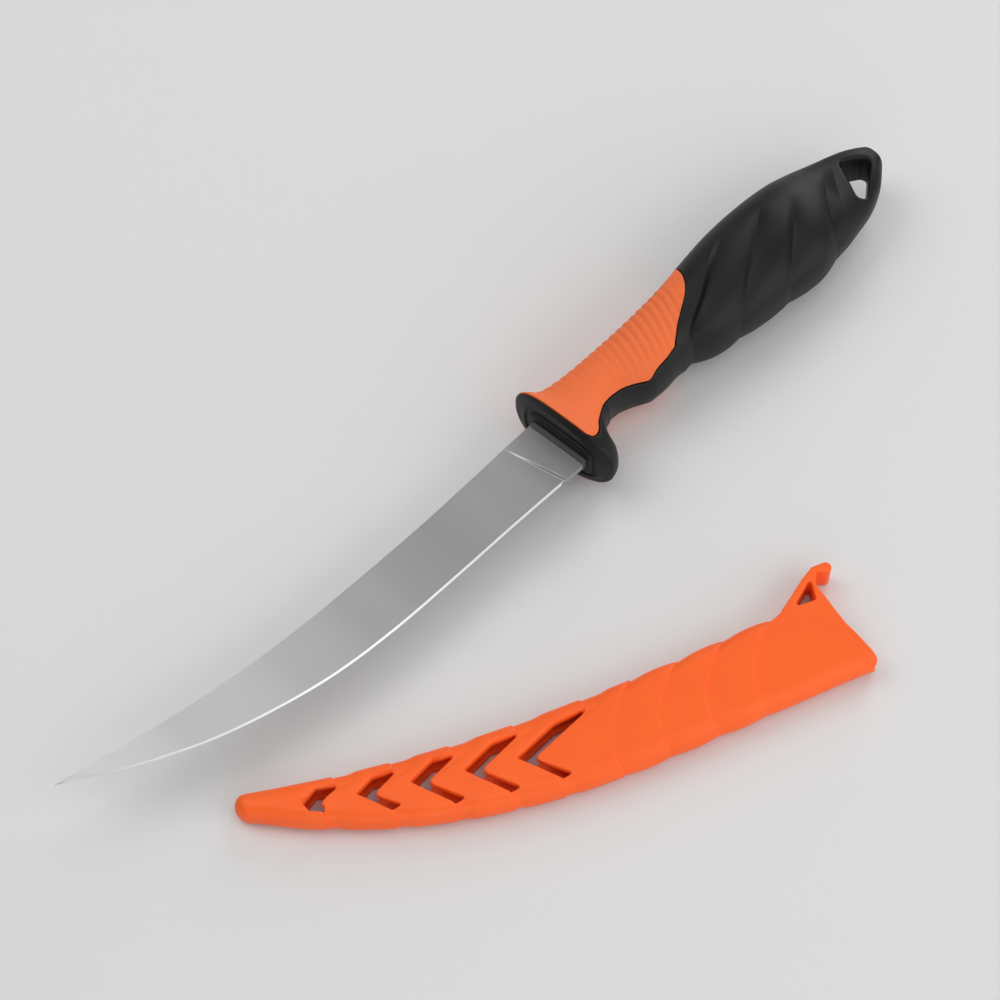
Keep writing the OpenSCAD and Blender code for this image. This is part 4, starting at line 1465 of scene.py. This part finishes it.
    def surface(self) -> np.ndarray:
        """Rings round the sheath, from its point to its mouth.

        A ring goes over the front face, round the upper long edge, across the back
        and round the lower long edge. The front face and both edges swell with each
        scale, the point closes round, and the last rings turn in over the mouth's
        rounded rim.

        Returns:
            Rows of ring points.
        """
        quarter = np.linspace(0, math.pi / 2, 9)
        wide = np.linspace(0, 1, self.front_columns)[1:-1]
        behind = np.linspace(1, 0, self.back_columns)[1:-1]
        parts = [
            (0 * quarter, -np.cos(quarter), np.sin(quarter), True),
            (wide, 0 * wide, 1 + 0 * wide, True),
            (1 + 0 * quarter, np.sin(quarter), np.cos(quarter), True),
            (1 + 0 * quarter, np.cos(quarter), -np.sin(quarter), False),
            (behind, 0 * behind, -1 + 0 * behind, False),
            (0 * quarter, -np.sin(quarter), -np.cos(quarter), False),
        ]
        face, side, up = (np.concatenate([p[i] for p in parts]) for i in range(3))
        front = np.concatenate([np.full(len(p[0]), p[3]) for p in parts])
        limit = np.where(front, self.edge_r, self.back_r)
        last = self.windows + self.plain
        scale, f = self.rows()
        turn_in = np.linspace(0, math.pi / 2, 6)[1:]
        scale = np.concatenate([scale, np.full(len(turn_in), last)])[:, None]
        f = np.concatenate([f, np.ones(len(turn_in))])[:, None]
        inset = np.zeros_like(f)
        inset[-len(turn_in):, 0] = self.mouth_round * (1 - np.cos(turn_in))
        shift = -self.mouth_round * np.where(scale == last, smooth(f), 0.0)
        shift[-len(turn_in):, 0] = self.mouth_round * (np.sin(turn_in) - 1)
        corner = self.mouth_corner * self.width
        near = np.clip(1 - limit * (1 - np.abs(side)) / corner, 0, None)
        turned = np.where((scale == last) & (side < 0), f * corner * (1 - np.sqrt(1 - near ** 2)), 0)
        share = self.edge_r / self.width
        whole = share + (1 - 2 * share) * face + share * side
        lines = self.lines(face, whole)
        scale = scale[:, 0]
        u = lines[scale] + (lines[scale + 1] - lines[scale]) * f + (shift - turned) / self.length
        edges, crown = self.swell(scale[:, None], f, face)
        end = closing(u, self.nose_round)
        top, low = self.upper(u), self.lower(u)
        broad = end * (top - low + 2 * self.edge_step * (edges - self.swell_back)) - 2 * inset
        drop = np.where(up > 0, 1 - np.minimum(crown, 1), 1)
        roof = self.thick * curve(self.front_shares, u) - self.step * drop / 2
        tall = end * roof - 2 * inset
        r = np.minimum(np.minimum(limit, self.fillet_share * broad), self.fillet_share * tall)
        v = (top + low) / 2 + (r - broad / 2) + (broad - 2 * r) * face + side * r
        z = roof / 2 + np.where(up > 0, tall / 2 - r * (1 - up), r * (1 + up) - tall / 2)
        points = np.stack([self.length * u, v, z], axis=-1)
        drop, rise = self.rims(points[..., :2])
        points[..., 2] -= np.where(front & (up > 0.5), drop, 0)
        points[..., 2] += np.where(~front & (up < -0.5), rise, 0)
        return points

    def patches(self, k: int) -> list:
        """Middles of the discs whose hulls make one window.

        Args:
            k: The window's number from the sheath's point.

        Returns:
            Five arrays of middles.
        """
        r = self.window_corner * self.window_w
        apex = np.array([
            self.length * self.first_apex + k * self.pitch,
            self.width * self.apex_shares[k],
        ])
        bend = apex + self.pitch * np.array(self.bend_shares[k]) + [r, -r]
        top = apex + self.pitch * np.array(self.top_shares[k]) - [r, r]
        high, front, low = apex + self.pitch * np.array(self.tongue_shares) - [r, 0]
        left = apex + self.pitch * np.array(self.low_left[k])
        right = apex + self.pitch * np.array(self.low_right[k])
        near = apex + [2 * r, 0]
        return [
            np.array([near, high, bend]),
            np.array([bend, high, top]),
            np.array([near, front, high]),
            np.array([near, low, front]),
            np.array([near, left, right, low]),
        ]

    def rims(self, points: np.ndarray) -> tuple:
        """How far the windows' rims round down from the face and up from the back.

        The face's rim is wide above the line from a window's apex to its upper end and
        crisp below it.

        Args:
            points: Points in the plane.

        Returns:
            The drop of the face and the rise of the back.
        """
        drop = np.zeros(points.shape[:-1])
        rise = np.zeros(points.shape[:-1])
        for k in range(self.windows):
            patches = self.patches(k)
            gaps = [past_hull(points, middles) for middles in patches]
            gap = np.minimum.reduce(gaps) - self.window_corner * self.window_w
            near, top = patches[0][0], patches[1][2]
            way = (top - near) / np.linalg.norm(top - near)
            above = way[0] * (points - near)[..., 1] - way[1] * (points - near)[..., 0]
            wider = (self.window_round - self.window_crisp) * smooth(above + self.rim_blend)
            radius = self.window_crisp + wider
            drop = np.maximum(drop, rim_drop(gap, radius))
            rise = np.maximum(rise, rim_drop(gap, self.back_round))
        return drop, rise

    def slot(self) -> np.ndarray:
        """Rings of the slot: an eight-sided flat form that flares past the mouth."""
        inside = np.linspace(self.slot_start, self.slot_end, self.slot_rows)
        share = np.concatenate([inside, [1.0, self.slot_past]])[:, None]
        flare = np.where(share < self.slot_end, 0, self.slot_flare * self.slot_t)
        top = self.upper(share) - self.edge_wall + flare
        low = self.lower(share) + self.edge_wall - flare
        half = self.slot_t / 2 + flare
        bend = half / 2
        y = np.concatenate([low, low, low + bend, top - bend, top, top, top - bend, low + bend], axis=1)
        rise = np.concatenate([bend - half, half - bend, half, half], axis=1)
        z = np.concatenate([rise, -rise], axis=1) + (self.thick - self.step / 2) / 2
        past = np.clip((share - self.slot_lean_from) / (1 - self.slot_lean_from), 0, None)
        lean = -math.tan(self.mouth_lean) * past
        x = self.length * share + lean * (y - (top + low) / 2)
        return np.stack([x, y, z], axis=-1)

    def hook_bars(self) -> list:
        """Each bar of the hook as disc middles and radii."""
        r = self.hook_t / 2
        at = {name: np.array([u * self.length, v * self.width]) for name, u, v in self.hook_shares}
        chains = [
            ("base", "knee"), ("knee", "shoulder"), ("shoulder", "nose"),
            ("shoulder", "elbow", "throat"), ("knee", "elbow", "throat", "rim", "sill"),
        ]
        return [
            (np.array([at[name] for name in chain]),
             np.array([self.nose_r if name == "nose" else r for name in chain]))
            for chain in chains
        ]

    def hook_form(self, middles: np.ndarray, radii: np.ndarray, soft: float, place: tuple
                  ) -> bpy.types.Object:
        """Upright form over a hull of discs, from just over the floor to the face.

        Args:
            middles: The middles of its discs.
            radii: Their radii.
            soft: Rounding of its rims, below zero to flare them out for a hole.
            place: Turn and place of the sheath's own frame.

        Returns:
            The new object.
        """
        turn = np.linspace(0, math.pi / 2, 6)
        inset = soft * (1 - np.sin(turn))
        over = self.cut_over if soft < 0 else 0.0
        low = self.step / 2 + abs(soft) * (1 - np.cos(turn))
        z = np.concatenate([low, self.thick - low[::-1]])
        z[0] -= over
        z[-1] += over
        inset = np.concatenate([inset, inset[::-1]])
        steps = self.disc_steps
        rings = [np.column_stack([disc_ring(middles, radii - d, steps), np.full(steps, h)])
                 for d, h in zip(inset, z)]
        return tube("hook_form", np.stack(rings), *place)

    def build(self, place: tuple) -> bpy.types.Object:
        """Makes the sheath: the scaled form, the hook, the slot and the windows.

        Args:
            place: Turn and place of the sheath's own frame.

        Returns:
            The finished piece.
        """
        piece = tube("sheath_fine", self.surface(), *place)
        for middles, radii in self.hook_bars():
            carve(piece, self.hook_form(middles, radii, self.hook_round, place), Cut.ADD)
        corners = np.array(self.hole_shares) * [self.length, self.width]
        radii = np.full(len(corners), self.hole_corner * self.hook_t / 2)
        carve(piece, self.hook_form(corners, radii, -self.hook_round, place), Cut.TAKE)
        carve(piece, tube("slot", self.slot(), *place), Cut.TAKE)
        for k in range(self.windows):
            for middles in self.patches(k):
                radii = np.full(len(middles), self.window_corner * self.window_w)
                outline = disc_ring(middles, radii, self.window_steps)
                carve(piece, prism("window", outline, (-1, self.thick + 1), place), Cut.TAKE)
        shade(piece, self.crease)
        LOG.info("sheath: %d points", len(piece.data.vertices))
        return piece


@dataclass
class Studio:
    """Pale floor, soft lamps and the photograph's viewpoint."""

    camera_at: tuple = (-0.12690, -0.36901, 0.69282)
    look_at: tuple = (-0.00028, 0.01041, 0.0)
    lens: float = 102.8
    sensor: float = 36.0
    nearest: float = 0.01
    floor_half: float = 3.0
    floor_colour: tuple = (0.72, 0.72, 0.72, 1.0)
    floor_roughness: float = 0.9
    sky_strength: float = 0.25
    lamps: tuple = (
        ("overhead", (0.08, -0.15, 1.0), 0.6, 1.6),
        ("key", (0.75, -0.7, 0.5), 1.2, 6.8),
        ("front", (-0.3, -1.0, 0.35), 0.8, 2.8),
        ("rim", (0.72, 0.84, 0.54), 0.75, 4.8),
        ("left", (-0.5, 0.45, 0.9), 0.8, 4.0),
    )

    def camera(self) -> None:
        """Sets the camera at the photograph's angle."""
        lens = bpy.data.cameras.new("camera")
        lens.lens = self.lens
        lens.sensor_width = self.sensor
        lens.clip_start = self.nearest
        view = bpy.data.objects.new("camera", lens)
        way = Vector(self.look_at) - Vector(self.camera_at)
        view.location = self.camera_at
        view.rotation_euler = way.to_track_quat("-Z", "Y").to_euler()
        bpy.context.scene.collection.objects.link(view)
        bpy.context.scene.camera = view

    def lamp(self, name: str, place: tuple, size: float, power: float) -> None:
        """Adds one soft square lamp that faces the object.

        Args:
            name: The lamp's name.
            place: Where it stands, in metres.
            size: Its side, in metres.
            power: Its power in watts.
        """
        light = bpy.data.lights.new(name, "AREA")
        light.size = size
        light.energy = power
        lamp = bpy.data.objects.new(name, light)
        lamp.location = place
        lamp.rotation_euler = (-Vector(place)).to_track_quat("-Z", "Y").to_euler()
        bpy.context.scene.collection.objects.link(lamp)

    def floor(self) -> bpy.types.Object:
        """Makes the pale floor just under the part."""
        h = self.floor_half
        mesh = bpy.data.meshes.new("floor")
        mesh.from_pydata([(-h, -h, 0), (h, -h, 0), (h, h, 0), (-h, h, 0)], [], [(0, 1, 2, 3)])
        floor = bpy.data.objects.new("floor", mesh)
        bpy.context.scene.collection.objects.link(floor)
        material = bpy.data.materials.new("floor")
        material.use_nodes = True
        shader = material.node_tree.nodes["Principled BSDF"]
        shader.inputs["Base Color"].default_value = self.floor_colour
        shader.inputs["Roughness"].default_value = self.floor_roughness
        floor.data.materials.append(material)
        return floor

    def world(self) -> None:
        """Lights the whole scene with an even pale sky."""
        world = bpy.data.worlds.new("studio")
        world.use_nodes = True
        sky = world.node_tree.nodes["Background"]
        sky.inputs["Color"].default_value = (1.0, 1.0, 1.0, 1.0)
        sky.inputs["Strength"].default_value = self.sky_strength
        bpy.context.scene.world = world

    def build(self) -> None:
        """Builds the floor, the lamps, the sky and the camera."""
        self.camera()
        self.world()
        for lamp in self.lamps:
            self.lamp(*lamp)
        self.floor()
        bpy.context.scene.view_settings.view_transform = "Standard"


FINISHES = {
    # the third colour of each moulded finish is its painted-light colour, used only where a piece
    # carries the mark: on the grip, painted shade in the rib valleys
    Slot.CORE: MouldedFinish(
        "core_plastic", (0.05, 0.042, 0.046, 1), (0.058, 0.05, 0.054, 1), (0.08, 0.07, 0.075, 1),
        0.5, 0.56, 5000.0, 0.00001),
    Slot.BLACK: MouldedFinish(
        "black_rubber", (0.006, 0.006, 0.0065, 1), (0.009, 0.009, 0.0095, 1), (0.04, 0.04, 0.043, 1),
        0.42, 0.5, 5200.0, 0.00001, specular=0.25),
    Slot.GRIP: MouldedFinish(
        "orange_rubber", (0.72, 0.13, 0.03, 1), (0.69, 0.12, 0.028, 1), (0.84, 0.165, 0.045, 1),
        0.62, 0.7, 4200.0, 0.000014, specular=0.3),
    Slot.SHEATH: MouldedFinish(
        "orange_plastic", (1.0, 0.13, 0.012, 1), (0.97, 0.12, 0.011, 1), (1.0, 0.2, 0.05, 1),
        0.42, 0.5, 3600.0, 0.000008, specular=0.35),
}


def main() -> None:
    """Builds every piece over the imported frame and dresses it."""
    logging.basicConfig(level=logging.INFO, format="%(message)s")
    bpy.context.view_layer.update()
    layout = Layout()
    knife, sheath = layout.knife(), layout.sheath()
    form = HandleForm()
    core = Core()
    grain = mould_grain()
    # (0.9, 0.9, 0.9) is the painted highlight colour of the bevel and the spine
    steel = GroundSteel("blade_steel", (0.5, 0.5, 0.5, 1), (0.55, 0.55, 0.55, 1),
                        (0.9, 0.9, 0.9, 1), 0.32, 0.38, layout.lie_turn)
    built = [
        (Blade().build(knife), "blade", Body.KNIFE, Slot.STEEL),
        (core.build(knife), "core", Body.KNIFE, Slot.CORE),
        (Overmould(form, core).build(knife), "overmould", Body.KNIFE, Slot.BLACK),
        (Grip(form).build(knife), "grip", Body.KNIFE, Slot.GRIP),
        (Sheath().build(sheath), "sheath", Body.SHEATH, Slot.SHEATH),
    ]
    for piece, node, body, slot in built:
        material = steel.build(ground_lines()) if slot is Slot.STEEL else FINISHES[slot].build(grain)
        piece.data.materials.clear()
        piece.data.materials.append(material)
        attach(piece, body.value)
        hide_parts(node)
        LOG.info("%s stands for %s on %s", piece.name, node, body.value)
    Studio().build()


if __name__ == "__main__":
    main()
